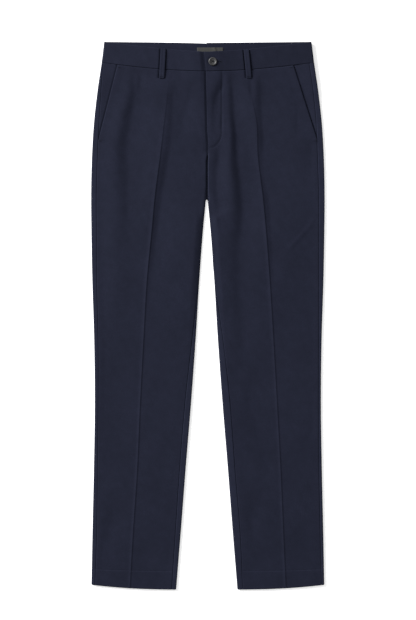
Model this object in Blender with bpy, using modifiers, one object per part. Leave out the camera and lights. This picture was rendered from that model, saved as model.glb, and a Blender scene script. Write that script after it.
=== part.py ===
"""Suit trousers laid flat, front up: panels, waistband, belt loops, fly, zip, button and label.

+X is the wearer's left, +Y points to the waist and +Z is up. The origin is the middle of the garment's
footprint, on the surface that it lies on. Lengths are in millimetres and go to metres in to_metres().

Each leg is a flattened tube. Its back lies on the surface and turns up round two folds, the outer fold
at the side and the inner fold between the legs. The front lies on the back, between the side seam and
the inseam, which both lie a little way in from the folds.
"""

import math
from collections import namedtuple

import bmesh
import bpy
import numpy as np

MM = 0.001

# Driving sizes
TOP_Y = 548.0  # the waistband's corners
HEM_Y = -548.0  # the hem at the inseam
HEM_RISE = 9.6  # how much higher the hem is at the side
HEM_RISE_POWER = 2.2
FORK_Y = 232.4  # where the legs part
FORK_ROUND = 3.0  # length of the round end of the gap between the legs
CENTRE_X = -2.2  # the centre seams, at the fork
CLOTH = 1.0  # the cloth's wall
BAND = 2.0  # the waistband's wall, several layers
GAP = 0.3  # between pieces that touch
INSEAM_GAP = 0.5  # wider, because the inseam runs over a tight fold
LEG_HEIGHT = 4.0  # from the surface to the top of a fold, along the legs
BAND_HEIGHT = 5.2  # the same at the waistband
LOFT = 2.6  # how far the front stands up between hip and thigh
SAG = 0.4  # how far it lies lower than its folds down the leg
LEAST_SPACE = 2 * CLOTH + GAP + 0.1  # the front's outer surface is never nearer than this to the back's

SEAM_Y = 488.5  # the waist seam at the centre front
SEAM_RISE = 17.3  # how much higher it is at the side
SEAM_RISE_POWER = 1.7
SIDE_SEAM_Y = SEAM_Y + SEAM_RISE  # the waist seam at the side and all along the back
FRONT_TOP_Y = 527.6  # the front waistband's upper edge at the centre
FRONT_TOP_POWER = 1.35
BACK_TOP_DIP = 2.0  # how far the back waistband's upper edge dips at the centre
BACK_TOP_STEP = 1.3  # how much lower it is on the wearer's right of the centre back seam

CREASE_HEIGHT = 1.3
CREASE_REACH = 9.0  # from the crease to where the cloth is flat again
CREASE_POWER = 1.5

FLY_END_Y = 325.0
FLY_LAP = 5.5  # how far the wearer's right front goes under the left
FLY_LIFT = CLOTH + GAP  # the left front lies on the right one along the fly
FLY_TOP_LIFT = BAND + GAP  # and higher near the waistband
FLY_REACH = 38.0  # the raised part of the left front, from the centre
CENTRE_FLAT = 8.0  # the flat strip of the right front beside the fly
SHIELD = 1.0
SHIELD_WIDTH = 34.0
SHIELD_TUCK = 3.0  # how far the shield reaches past the fly's edge, under the right front
SHIELD_END_Y = FLY_END_Y + 8
ZIP_WIDTH = 24.0
ZIP_X = 15.0
ZIP_END_Y = FLY_END_Y + 12
ZIP_TOP_Y = 468.0
SLIDER_WIDTH = 8.0
SLIDER_LENGTH = 10.0
PULL_WIDTH = 5.0
PULL_LENGTH = 28.0
PULL_WALL = 0.5
BAND_UNDERLAP = 34.0  # the right waistband's end, under the left one

POCKET_TOP_X = 174.0  # where the pocket mouth meets the waist seam
POCKET_TOP_Y = SEAM_Y + 12
POCKET_END_Y = 351.0
POCKET_END_IN = 12.0  # how far its lower end lies in from the side
POCKET_TUCK = 25.0  # how far the facing reaches under the front
POCKET_DROP = 1.2  # how far the facing lies below the side seam
POCKET_LIP = 0.4

LOOP_WIDTH = 10.5
LOOP_CLOTH = 1.3
LOOP_ARCH = 0.8  # how far the middle of a front loop stands up
LOOP_ARCH_POWER = 0.7
LOOP_BOTTOM_Y = 474.0
BACK_LOOP_DROP = 17.0  # how far a back loop reaches below the waist seam
BACK_LOOP_SHORT = 1.0  # how far its upper end is below the waistband's edge
BACK_LIFT = LOOP_CLOTH + GAP  # the back waistband lies on its belt loops

BUTTON_X = 9.3
BUTTON_Y = 508.6
BUTTON_RADIUS = 8.7
BUTTON_STAND = 0.5  # between the button and the waistband
BUTTON_HOLE_RADIUS = 0.9
BUTTON_HOLE_SPREAD = 1.8
BUTTON_FACETS = 24
THREAD_RADIUS = 1.1
THREAD_ROOM = 0.5
EYELET_X = 26.5
EYELET_RADIUS = 1.2
SLIT_WIDTH = 1.0

LABEL_WIDTH = 52.0
LABEL_X = 4.5
LABEL_TOP_Y = 536.5
LABEL_DEPTH = 22.0
LABEL_CLOTH = 0.5

# Smooth rises from 0 to 1: where each starts and how long it is. A minus sign turns it round.
Rise = namedtuple("Rise", "start length")
BACK_RISE = Rise(415, 50)  # up the garment, the back goes onto its belt loops
FOLD_RISE = Rise(430, 60)  # up the garment, the folds grow to the waistband's height
CREASE_RISE = Rise(478, -60)  # down from here, the creases stand up
LOFT_RISE = Rise(-60, 260)  # up the garment, the front goes from its sag to its loft
LOFT_START = Rise(492, -30)  # down from the waist seam
SAG_START = Rise(470, -60)
FROM_CENTRE = Rise(3, 28)  # away from the centre or the inner fold, the front leaves its edge's level
FROM_SIDE = Rise(4, 28)  # the same, away from the side
CENTRE_RISE = Rise(FLY_END_Y - 15, 15)  # up the fly, where a strip beside it stays flat
LAP_RISE = Rise(FLY_END_Y - 7, 16)  # up the fly, the right front goes under the left
FLY_RISE = Rise(FLY_END_Y - 45, 38)  # up the fly, the left front goes onto the right
FLY_TOP_RISE = Rise(395, 45)  # up the fly, it goes on to the waistband's level
FLY_FALL = Rise(FLY_REACH - 4, 24)  # away from the fly, it comes down again
BAND_FALL = Rise(38, 26)  # away from the fly, the left waistband comes down off the right one
MOUTH_RISE = Rise(POCKET_END_Y - 8, 8)  # up the pocket mouth, its lip
MOUTH_FALL = Rise(POCKET_TUCK + 3, 20)  # away from the mouth
HEM_ROWS = Rise(-480, -68)  # down the leg, the rows follow the hem
SEAM_ROWS = Rise(400, SEAM_Y - 400)  # up the garment, the rows follow the waist seam
LOOP_RISE = Rise(-12, 10)  # a loop goes onto the waistband, measured from the waist seam

FOLD_START = Rise(-0.12, 0.24)  # a fold fades in round its ends, as shares of its length
FOLD_END = Rise(1.12, -0.24)

# One row for each section across the legs, from the hem up. outer: half the width. inner: half the gap
# between the legs. Then for the wearer's right and left: the crease's distance from the middle, how far
# the side seam lies in from the outer fold, and how far the inseam lies in from the inner fold.
Section = namedtuple("Section", "y outer inner crease_r crease_l side_r side_l inseam_r inseam_l")
SECTIONS = [
    Section(-548, 233.2, 61.3, 157.4, 156.5, 7.0, 5.3, 8.6, 11.0),
    Section(-433, 231.0, 52.0, 148.5, 152.0, 9.0, 6.0, 10.3, 15.0),
    Section(-305, 228.2, 42.1, 140.6, 145.2, 7.7, 5.7, 11.6, 14.3),
    Section(-177, 226.3, 31.6, 135.0, 139.0, 7.2, 4.5, 11.7, 15.3),
    Section(-49, 227.7, 22.3, 129.0, 133.0, 8.5, 5.6, 7.0, 10.5),
    Section(79, 231.6, 14.4, 120.5, 125.0, 9.4, 9.5, 0.8, 0.8),
    Section(175, 233.3, 7.2, 112.5, 117.0, 10.8, 11.2, 0.0, 0.0),
    Section(FORK_Y, 233.8, 2.0, 107.7, 109.5, 10.9, 11.6, 0.0, 0.0),
    Section(323, 231.9, 0.0, 97.3, 100.5, 11.5, 12.3, 0.0, 0.0),
    Section(387, 228.0, 0.0, 87.5, 94.5, 10.5, 11.0, 0.0, 0.0),
    Section(451, 220.7, 0.0, 80.5, 84.0, 7.5, 10.1, 0.0, 0.0),
    Section(507, 212.4, 0.0, 76.0, 78.0, 3.5, 10.0, 0.0, 0.0),
    Section(548, 207.3, 0.0, 74.0, 76.0, 3.5, 10.0, 0.0, 0.0),
]

# The largest soft folds of the front: a trough or ridge from one end to the other.
Fold = namedtuple("Fold", "x0 y0 x1 y1 width height")
FOLDS = [
    Fold(52, 458, 72, 200, 14, -3.6),
    Fold(68, 215, 69, 20, 18, -1.7),
    Fold(17, 318, 25, 200, 7, -1.2),
    Fold(110, 472, 124, 195, 16, -2.5),
    Fold(-150, 465, -162, 190, 18, -2.5),
    Fold(-62, 455, -93, 200, 16, -2.2),
]

# The front edge of the wearer's left front and waistband, which lies on the right one.
Edge = namedtuple("Edge", "y x")
FLY_EDGE = [Edge(FORK_Y, CENTRE_X), Edge(338, -0.5), Edge(421, -2.1), Edge(489, -3.5), Edge(528, -7.3)]

# Half the button's section, from its middle over the rim to the underside.
Turn = namedtuple("Turn", "radius height")
BUTTON_SECTION = [
    Turn(0.0, 1.7),
    Turn(5.0, 1.9),
    Turn(6.2, 2.6),
    Turn(7.6, 2.5),
    Turn(BUTTON_RADIUS, 1.5),
    Turn(7.6, 0.3),
    Turn(5.5, 0.0),
    Turn(0.0, 0.0),
]

# Belt loops: upper and lower middle of the two in front, and the middles of those behind.
FrontLoop = namedtuple("FrontLoop", "name top_x bottom_x")
FRONT_LOOPS = [FrontLoop("right", -89.0, -92.2), FrontLoop("left", 76.6, 82.4)]
BACK_LOOPS = {"right": -124.0, "centre": CENTRE_X, "left": 120.0}

LEFT, RIGHT = 1, -1  # the wearer's, and the sign of X
SIDES = {"right": RIGHT, "left": LEFT}

# The grids
ARC_STEPS = 4  # quads round a fold
EDGE_STEP = 0.2  # the first quad at a seam on a fold is this narrow, so that its edge stands square
FOLD_COLUMNS = 5  # a front's, on the inner fold
LAP_SHARES = [0.2, 0.42, 0.62, 0.82]  # between the inner fold and the crease
CREASE_SHARES = [-1.0, -1 / 3, 0.0, 1 / 3, 1.0]  # over the crease, as shares of its reach
HIP_SHARES = [0.15, 0.35, 0.57, 0.8, 1.0]  # and on to the side seam or the pocket mouth
FRONT_COLUMNS = FOLD_COLUMNS + len(LAP_SHARES) + len(CREASE_SHARES) + len(HIP_SHARES)
UNDERSIDE = 3  # a back's columns between its folds
BACK_COLUMNS = 1 + (1 + ARC_STEPS) + UNDERSIDE + (1 + ARC_STEPS) + 1
BAND_FRONT, BAND_BACK = 9, 6  # the waistband's columns in front of the side fold and behind it
BAND_COLUMNS = BAND_FRONT + ARC_STEPS + 1 + BAND_BACK
BAND_ROWS = 4
BAND_NEAR = {LEFT: [16.0, 40.0, 53.0, 66.0], RIGHT: [12.0, -20.0]}  # its columns' x near the front end
FACING_COLUMNS = 5
LOOP_ROWS = 9


def to_metres(point):
    return [value * MM for value in point]


def ramp(t):
    """0 below 0, 1 above 1, and a smooth rise between."""
    t = min(max(t, 0.0), 1.0)
    return t * t * (3 - 2 * t)


def risen(rise, at):
    return ramp((at - rise.start) / rise.length)


def curve_through(rows, column):
    """A smooth curve through one column of a table, as a function of y."""
    ys = np.array([row.y for row in rows], float)
    values = np.array([getattr(row, column) for row in rows], float)
    slopes = np.gradient(values, ys)

    def at(y):
        y = min(max(y, ys[0]), ys[-1])
        i = min(max(int(np.searchsorted(ys, y)) - 1, 0), len(ys) - 2)
        span = ys[i + 1] - ys[i]
        t = (y - ys[i]) / span
        rise = values[i + 1] - values[i]
        start = span * slopes[i]
        end = span * slopes[i + 1]
        square = 3 * rise - 2 * start - end
        cube = start + end - 2 * rise
        return float(values[i] + t * (start + t * (square + t * cube)))

    return at


CURVES = {column: curve_through(SECTIONS, column) for column in Section._fields[1:]}


def along(rows, y):
    """A table's x at y, in straight lines."""
    return float(np.interp(y, [row.y for row in rows], [row.x for row in rows]))


def of_side(name, side, y):
    return CURVES[name + ("_l" if side == LEFT else "_r")](y)


# The garment's lines


def outer_x(y):
    return CURVES["outer"](y)


def inner_offset(y):
    """Half the gap between the legs: a round end at the fork, and half a seam gap above it."""
    if y >= FORK_Y:
        return GAP / 2
    round_end = math.sqrt(min((FORK_Y - y) / FORK_ROUND, 1.0))
    return max(GAP / 2, CURVES["inner"](y) * round_end)


def fly_edge_x(y):
    return along(FLY_EDGE, y)


def inner_x(side, y):
    """Signed x of the inner fold below the fork, and of the centre seam above it."""
    return (CENTRE_X if y < FORK_Y else fly_edge_x(y)) + side * inner_offset(y)


def pocket_x(y):
    """The pocket mouth's distance from the middle."""
    end_x = outer_x(POCKET_END_Y) - POCKET_END_IN
    t = (y - POCKET_END_Y) / (POCKET_TOP_Y - POCKET_END_Y)
    return end_x + (POCKET_TOP_X - end_x) * t


def side_seam_x(side, y):
    return outer_x(y) - of_side("side", side, y)


def front_edge_x(side, y):
    """Where the front ends at the side: the side seam, or the pocket mouth above its end."""
    seam = side_seam_x(side, y)
    return min(seam, pocket_x(y)) if y > POCKET_END_Y - 10 else seam


def hem_rise(x):
    start = CURVES["inner"](HEM_Y)
    t = (abs(x) - start) / (outer_x(HEM_Y) - start)
    return HEM_RISE * max(t, 0.0) ** HEM_RISE_POWER


def seam_rise(x):
    """How far the front's waist seam is above SEAM_Y."""
    return SEAM_RISE * min(abs(x) / outer_x(SIDE_SEAM_Y), 1.0) ** SEAM_RISE_POWER


def front_top_y(x):
    return FRONT_TOP_Y + (TOP_Y - FRONT_TOP_Y) * min(abs(x) / outer_x(TOP_Y), 1.0) ** FRONT_TOP_POWER


def back_top_y(x):
    middle = 1 - min(abs(x) / outer_x(TOP_Y), 1.0)
    step = BACK_TOP_STEP * middle**4 if x < CENTRE_X else 0.0
    return TOP_Y - BACK_TOP_DIP * middle - step


# The garment's levels


def lift(y):
    """The back's underside: on the surface, and on the back belt loops near the waist."""
    return BACK_LIFT * risen(BACK_RISE, y)


def fold_radius(y):
    height = LEG_HEIGHT + (BAND_HEIGHT - LEG_HEIGHT) * risen(FOLD_RISE, y)
    return height / 2


def fold_level(distance, y, upper):
    """Height of the outer surface at a distance in from a fold, on the upper or the lower side of it."""
    radius = fold_radius(y)
    drop = max(0.0, radius - distance)
    half = math.sqrt(max(radius**2 - drop**2, 0.0))
    return lift(y) + radius + (half if upper else -half)


def fold_shape(fold, x, y):
    """One soft fold's height at a point: round across, and fading out at both ends."""
    run = np.array([fold.x1 - fold.x0, fold.y1 - fold.y0], float)
    length = float(np.linalg.norm(run))
    start = np.array([x - fold.x0, y - fold.y0], float)
    t = float(start @ run) / length**2
    across = float(start[0] * run[1] - start[1] * run[0]) / length
    ends = risen(FOLD_START, t) * risen(FOLD_END, t)
    return fold.height * math.exp(-((across / fold.width) ** 2)) * ends


def crease_shape(side, x, y):
    reach = abs(abs(x) - of_side("crease", side, y)) / CREASE_REACH
    return CREASE_HEIGHT * risen(CREASE_RISE, y) * max(0.0, 1 - reach) ** CREASE_POWER


def base_level(side, x, y):
    """The fronts' outer surface without the lap of the fly."""
    from_side = front_edge_x(side, y) - abs(x)
    from_centre = abs(x - inner_x(side, y))
    from_centre -= risen(CENTRE_RISE, y) * (FLY_REACH if side == LEFT else CENTRE_FLAT)
    upper = risen(LOFT_RISE, y) * risen(LOFT_START, y)
    soft = LOFT * upper - SAG * (1 - upper) * risen(SAG_START, y)
    soft += crease_shape(side, x, y) + sum(fold_shape(fold, x, y) for fold in FOLDS)
    soft *= risen(FROM_CENTRE, from_centre) * risen(FROM_SIDE, from_side)
    lip = POCKET_LIP * risen(MOUTH_RISE, y) * (1 - risen(MOUTH_FALL, from_side))
    return max(lift(y) + 2 * fold_radius(y) + soft + lip, lift(y) + LEAST_SPACE)


def fly_lift(side, x, y):
    """How far the left front stands above the right one's level, along the fly."""
    if side == RIGHT:
        return 0.0
    height = FLY_LIFT + (FLY_TOP_LIFT - FLY_LIFT) * risen(FLY_TOP_RISE, y)
    return height * risen(FLY_RISE, y) * (1 - risen(FLY_FALL, x))


def front_level(side, x, y):
    return base_level(side, x, y) + fly_lift(side, x, y)


def band_level(side, x):
    """The front waistband's outer surface: the left one lies on the right one's end."""
    lap = 0.0 if side == RIGHT else (BAND + GAP) * (1 - risen(BAND_FALL, x))
    return BACK_LIFT + BAND_HEIGHT + lap


def facing_level(side, x, y):
    """The pocket facing: level with the side seam at the seam, and lower at the mouth."""
    seam = side_seam_x(side, y)
    width = max(seam - pocket_x(y), 1.0)
    fold_top = lift(y) + 2 * fold_radius(y)
    low = fold_top - POCKET_DROP
    at_seam = fold_top - POCKET_DROP * (1 - min(width / 12, 1.0))
    return at_seam - (at_seam - low) * ramp((seam - abs(x)) / width)


# Places along the rows


def leg_row_ys():
    """Nominal rows of a leg's panel, from the hem to the waist seam."""
    stretches = [
        np.linspace(HEM_Y, -511, 2),
        np.linspace(-511, -100, 6)[1:],
        np.linspace(-100, 190, 8)[1:],
        [218, 229],
        [FORK_Y, FORK_Y + 0.8, FORK_Y + 2.5],
        np.linspace(250, FLY_END_Y - 7, 3),
        np.linspace(FLY_END_Y + 9, 400, 3),
        np.linspace(400, SEAM_Y, 5)[1:],
    ]
    return [float(y) for stretch in stretches for y in stretch]


ROW_YS = leg_row_ys()


def settle(nominal, at, top_rise):
    """The point at(y) on a nominal row: the lowest rows follow the hem, and the highest the waist seam."""
    point = at(nominal)
    for _ in range(3):
        hem = hem_rise(point[0]) * risen(HEM_ROWS, nominal)
        top = (top_rise(point[0]) - GAP / 2) * risen(SEAM_ROWS, nominal)
        point = at(nominal + hem + top)
    return point


def fold_reach(path, y):
    """Distance in from a fold's edge, for a path that starts where the fold leaves the lower side."""
    radius = fold_radius(y)
    if path < math.pi * radius:
        return radius * (1 - math.sin(path / radius))
    return radius + path - math.pi * radius


def fold_path(reach, y):
    """The path that reaches this far in on the upper side: the inverse of fold_reach."""
    radius = fold_radius(y)
    if reach < radius:
        return radius * (math.pi / 2 + math.acos(1 - max(reach, 0.0) / radius))
    return math.pi * radius + reach - radius


def inner_point(side, path, y):
    """A point on the inner fold, or where the fold dies out above the fork."""
    reach = fold_reach(path, y)
    x = inner_x(side, y) + side * reach
    distance = math.hypot(reach, max(0.0, y - FORK_Y))
    upper = path > math.pi / 2 * fold_radius(y)
    return x, y, fold_level(distance, y, upper)


def outer_point(side, path, y):
    reach = fold_reach(path, y)
    upper = path > math.pi / 2 * fold_radius(y)
    return side * (outer_x(y) - reach), y, fold_level(reach, y, upper)


def front_inner_path(side, y, step):
    """The front's first columns, from the inseam to the top of the inner fold."""
    start = fold_path(of_side("inseam", side, y), y) + INSEAM_GAP / 2
    end = max(math.pi * fold_radius(y), start + 1.5)
    if step == 0:
        return start
    return start + EDGE_STEP + (end - start - EDGE_STEP) * (step - 1) / 3


def front_point(side, nominal, column):
    """Columns of a front: 5 at the inner fold, then over the crease to the side seam or pocket mouth."""

    def at(y):
        lap = FLY_LAP * risen(LAP_RISE, y) if side == RIGHT else 0.0
        if column < FOLD_COLUMNS:
            x, _, z = inner_point(side, front_inner_path(side, y, column), y)
            return x + lap, y, z + fly_lift(side, x, y)
        start = inner_x(side, y) + side * fold_reach(front_inner_path(side, y, FOLD_COLUMNS - 1), y)
        crease = side * of_side("crease", side, y)
        edge = side * (front_edge_x(side, y) - GAP / 2)
        reach = side * CREASE_REACH
        stops = [start + (crease - reach - start) * share for share in LAP_SHARES]
        stops += [crease + reach * share for share in CREASE_SHARES]
        stops += [crease + reach + (edge - crease - reach) * share for share in HIP_SHARES]
        x = stops[column - FOLD_COLUMNS]
        return x, y, front_level(side, x, y)

    return settle(nominal, at, seam_rise)


def back_point(side, nominal, column):
    """Columns of a back: the side seam, round the outer fold, along the surface, round the inner fold."""

    def at(y):
        arc = math.pi * fold_radius(y)
        if column == 0:
            return outer_point(side, fold_path(of_side("side", side, y), y) - GAP / 2, y)
        if column <= 1 + ARC_STEPS:
            return outer_point(side, arc * (1 - (column - 1) / ARC_STEPS), y)
        past = column - 2 - ARC_STEPS
        seam = fold_path(of_side("inseam", side, y), y) - INSEAM_GAP / 2
        if past < UNDERSIDE:
            start = outer_x(y) - fold_radius(y)
            end = side * inner_x(side, y) + fold_radius(y)
            return side * (start + (end - start) * (past + 1) / (UNDERSIDE + 1)), y, lift(y)
        step = past - UNDERSIDE
        share = min(1.0, (seam - EDGE_STEP) / arc)
        path = seam if step > ARC_STEPS else arc * step / ARC_STEPS * share
        return inner_point(side, path, y)

    def top_rise(x):
        return seam_rise(x) if column < 2 else SEAM_RISE

    return settle(nominal, at, top_rise)


def band_point(side, share, column):
    """Columns of half the waistband: its front end, the front, round the side fold, the back."""
    radius = BAND_HEIGHT / 2

    def at(y):
        edge = outer_x(y) - radius
        if column < BAND_FRONT:
            start = fly_edge_x(y) if side == LEFT else BAND_UNDERLAP
            near = [start] + BAND_NEAR[side]
            far = side * edge
            spread = BAND_FRONT - len(near) + 1
            stops = near + [near[-1] + (far - near[-1]) * i / spread for i in range(1, spread)]
            x = stops[column]
            return x, band_level(side, x), SEAM_Y + seam_rise(x), front_top_y(x)
        turn = (column - BAND_FRONT) / ARC_STEPS
        if turn <= 1:
            x = side * (edge + radius * math.sin(math.pi * turn))
            bottom = SEAM_Y + seam_rise(x) if turn < 0.5 else SIDE_SEAM_Y
            return x, BACK_LIFT + radius * (1 + math.cos(math.pi * turn)), bottom, TOP_Y
        end = CENTRE_X + side * GAP / 2
        x = side * edge + (end - side * edge) * (column - BAND_FRONT - ARC_STEPS) / BAND_BACK
        return x, BACK_LIFT, SIDE_SEAM_Y, back_top_y(x)

    y = (SIDE_SEAM_Y + TOP_Y) / 2
    for _ in range(3):
        x, z, bottom, top = at(y)
        y = bottom + GAP / 2 + (top - bottom - GAP / 2) * share
    x, z, _, _ = at(y)
    return x, y, z


def facing_point(side, column, nominal):
    """Columns of a pocket facing: from under the front, past the mouth, to the side seam."""

    def at(y):
        seam = side_seam_x(side, y) - GAP / 2
        mouth = min(pocket_x(y), seam - 0.5)
        stops = [mouth - POCKET_TUCK, mouth - POCKET_TUCK / 2, mouth, (mouth + seam) / 2, seam]
        x = side * stops[column]
        return x, y, facing_level(side, x, y)

    return settle(nominal, at, seam_rise)


def rows_between(low, high):
    """The panels' rows in a stretch, with the stretch's own ends."""
    return [low] + [y for y in ROW_YS if low + 1 < y < high - 1] + [high]


# Making the objects


def material(name, colour, roughness, metallic=0.0):
    made = bpy.data.materials.new(name)
    made.use_nodes = True
    shader = made.node_tree.nodes["Principled BSDF"]
    shader.inputs["Base Color"].default_value = (*colour, 1.0)
    shader.inputs["Roughness"].default_value = roughness
    shader.inputs["Metallic"].default_value = metallic
    made.diffuse_color = (*colour, 1.0)
    return made


def put(mesh, name, finish, collection):
    made = bpy.data.objects.new(name, mesh)
    mesh.materials.append(finish)
    collection.objects.link(made)
    return made


def cloth(name, columns, rows, place, wall, finish, collection, turned=False, outward=False):
    """A wall of cloth: a grid whose points place(column, row) puts on its outer surface."""
    shape = bmesh.new()
    bmesh.ops.create_grid(shape, x_segments=columns - 1, y_segments=rows - 1, size=0.5)
    for vert in shape.verts:
        column = round((vert.co.x + 0.5) * (columns - 1))
        row = round((vert.co.y + 0.5) * (rows - 1))
        vert.co = to_metres(place(column, row))
    if turned:
        bmesh.ops.reverse_faces(shape, faces=shape.faces)
    mesh = bpy.data.meshes.new(name)
    shape.to_mesh(mesh)
    shape.free()
    made = put(mesh, name, finish, collection)
    wall_made = made.modifiers.new("wall", "SOLIDIFY")
    wall_made.thickness = wall * MM
    wall_made.offset = 1.0 if outward else -1.0
    wall_made.use_even_offset = True
    mesh.shade_smooth()
    return made


def block(name, centre, size, finish, collection):
    """A box, by its middle and its size."""
    shape = bmesh.new()
    bmesh.ops.create_cube(shape, size=1.0)
    bmesh.ops.scale(shape, verts=shape.verts, vec=to_metres(size))
    mesh = bpy.data.meshes.new(name)
    shape.to_mesh(mesh)
    shape.free()
    made = put(mesh, name, finish, collection)
    made.location = to_metres(centre)
    return made


def rod(name, centre, radius, height, sides, finish, collection):
    """An upright cylinder, by its middle."""
    shape = bmesh.new()
    bmesh.ops.create_cone(
        shape,
        cap_ends=True,
        segments=sides,
        radius1=radius * MM,
        radius2=radius * MM,
        depth=height * MM,
    )
    mesh = bpy.data.meshes.new(name)
    shape.to_mesh(mesh)
    shape.free()
    made = put(mesh, name, finish, collection)
    made.location = to_metres(centre)
    return made


def cut(body, cutter):
    cutter.hide_render = True
    cutter.display_type = "WIRE"
    made = body.modifiers.new("cut " + cutter.name, "BOOLEAN")
    made.operation = "DIFFERENCE"
    made.object = cutter


def make_legs(finish, collection):
    for word, side in SIDES.items():

        def front(column, row, side=side):
            return front_point(side, ROW_YS[row], column)

        def back(column, row, side=side):
            return back_point(side, ROW_YS[row], column)

        rows = len(ROW_YS)
        turned = side == RIGHT
        cloth("front_" + word, FRONT_COLUMNS, rows, front, CLOTH, finish, collection, turned)
        cloth("back_" + word, BACK_COLUMNS, rows, back, CLOTH, finish, collection, turned)


def make_facings(finish, collection):
    rows = rows_between(POCKET_END_Y + 2, SEAM_Y)
    for word, side in SIDES.items():

        def place(column, row, side=side):
            return facing_point(side, column, rows[row])

        name = "pocket_facing_" + word
        cloth(name, FACING_COLUMNS, len(rows), place, CLOTH, finish, collection, side == RIGHT)


def make_waistband(finish, collection, cutters):
    for word, side in SIDES.items():

        def place(column, row, side=side):
            return band_point(side, row / (BAND_ROWS - 1), column)

        band = cloth(
            "waistband_" + word, BAND_COLUMNS, BAND_ROWS, place, BAND, finish, collection, side == RIGHT
        )
        if side == LEFT:
            cut_buttonhole(band, finish, cutters)


def cut_buttonhole(band, finish, cutters):
    """A keyhole buttonhole: a slit, an eyelet, and the room for the button's thread."""
    z = band_level(LEFT, BUTTON_X)
    middle = (BUTTON_X + EYELET_X) / 2
    depth = 4 * BAND
    slit = block("slit", (middle, BUTTON_Y, z), (EYELET_X - BUTTON_X, SLIT_WIDTH, depth), finish, cutters)
    eyelet = rod("eyelet", (EYELET_X, BUTTON_Y, z), EYELET_RADIUS, depth + 1, 12, finish, cutters)
    room_radius = THREAD_RADIUS + THREAD_ROOM
    room = rod("thread room", (BUTTON_X, BUTTON_Y, z), room_radius, depth + 2, 16, finish, cutters)
    for cutter in (slit, eyelet, room):
        cut(band, cutter)


def make_front_loops(finish, collection):
    """Each loop starts at the waistband's upper edge and ends below the waist seam."""
    for loop in FRONT_LOOPS:
        side = LEFT if loop.top_x > 0 else RIGHT
        top_y = front_top_y(loop.top_x)

        def place(column, row, loop=loop, side=side, top_y=top_y):
            t = row / (LOOP_ROWS - 1)
            y = LOOP_BOTTOM_Y + (top_y - LOOP_BOTTOM_Y) * t
            x = loop.bottom_x + (loop.top_x - loop.bottom_x) * t + (column / 2 - 0.5) * LOOP_WIDTH
            seam = SEAM_Y + seam_rise(x)
            level = front_level(side, x, min(y, seam))
            level += (band_level(side, x) - level) * risen(LOOP_RISE, y - seam)
            arch = LOOP_ARCH * math.sin(math.pi * t) ** LOOP_ARCH_POWER if 0 < t < 1 else 0.0
            return x, y, level + GAP + arch

        name = "belt_loop_front_" + loop.name
        cloth(name, 3, LOOP_ROWS, place, LOOP_CLOTH, finish, collection, outward=True)


def make_back_loops(finish, collection):
    for word, x in BACK_LOOPS.items():
        bottom = SIDE_SEAM_Y - BACK_LOOP_DROP
        top = back_top_y(x) - BACK_LOOP_SHORT
        size = (LOOP_WIDTH, top - bottom, LOOP_CLOTH)
        block("belt_loop_back_" + word, (x, (top + bottom) / 2, LOOP_CLOTH / 2), size, finish, collection)


def make_fly(cloth_finish, zip_finish, metal, collection):
    """The shield under both fronts, and the zip between it and the left front."""
    shield_rows = rows_between(SHIELD_END_Y, SEAM_Y - 2)
    zip_rows = rows_between(ZIP_END_Y, ZIP_TOP_Y)
    pull_top_y = ZIP_TOP_Y + 0.8 * SLIDER_LENGTH
    pull_rows = rows_between(pull_top_y - PULL_LENGTH, pull_top_y)

    def shield(column, row):
        y = shield_rows[row]
        x = fly_edge_x(y) - SHIELD_TUCK + SHIELD_WIDTH * column / 2
        return x, y, base_level(LEFT, max(x, 1.0), y) - CLOTH - GAP

    def tape(column, row):
        y = zip_rows[row]
        x = fly_edge_x(y) + FLY_LAP + GAP + ZIP_WIDTH * column / 2
        return x, y, base_level(LEFT, x, y)

    def pull(column, row):
        y = pull_rows[row]
        x = ZIP_X + PULL_WIDTH * (column - 0.5)
        return x, y, base_level(LEFT, x, y) + GAP

    cloth("fly_shield", 3, len(shield_rows), shield, SHIELD, cloth_finish, collection)
    cloth("zip", 3, len(zip_rows), tape, CLOTH, zip_finish, collection)
    cloth("zip_pull", 2, len(pull_rows), pull, PULL_WALL, metal, collection, outward=True)
    y = ZIP_TOP_Y + GAP + SLIDER_LENGTH / 2
    z = base_level(LEFT, ZIP_X, y) - CLOTH / 2
    block("zip_slider", (ZIP_X, y, z), (SLIDER_WIDTH, SLIDER_LENGTH, CLOTH), metal, collection)


def make_button(finish, thread, collection, cutters):
    """A turned button with a rim and four holes, on a shank of thread from the right waistband's end."""
    level = band_level(LEFT, BUTTON_X)
    base = level + BUTTON_STAND
    shape = bmesh.new()
    verts = [shape.verts.new(to_metres((turn.radius, 0, turn.height))) for turn in BUTTON_SECTION]
    for first, second in zip(verts, verts[1:], strict=False):
        shape.edges.new((first, second))
    mesh = bpy.data.meshes.new("button")
    shape.to_mesh(mesh)
    shape.free()
    button = put(mesh, "button", finish, collection)
    button.location = to_metres((BUTTON_X, BUTTON_Y, base))
    turned = button.modifiers.new("turned", "SCREW")
    turned.steps = BUTTON_FACETS
    turned.render_steps = BUTTON_FACETS
    turned.use_merge_vertices = True
    turned.merge_threshold = 0.00005
    for i in range(4):
        angle = math.pi / 4 + i * math.pi / 2
        x = BUTTON_X + BUTTON_HOLE_SPREAD * math.cos(angle)
        y = BUTTON_Y + BUTTON_HOLE_SPREAD * math.sin(angle)
        hole = rod(f"button hole {i}", (x, y, base + 1), BUTTON_HOLE_RADIUS, 6.0, 8, finish, cutters)
        cut(button, hole)
    low = band_level(RIGHT, BUTTON_X) + GAP
    high = base - GAP
    middle = (low + high) / 2
    rod("button_thread", (BUTTON_X, BUTTON_Y, middle), THREAD_RADIUS, high - low, 12, thread, collection)


def make_label(finish, collection):
    z = BACK_LIFT + BAND + GAP + LABEL_CLOTH / 2
    centre = (LABEL_X, LABEL_TOP_Y - LABEL_DEPTH / 2, z)
    block("label", centre, (LABEL_WIDTH, LABEL_DEPTH, LABEL_CLOTH), finish, collection)


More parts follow.
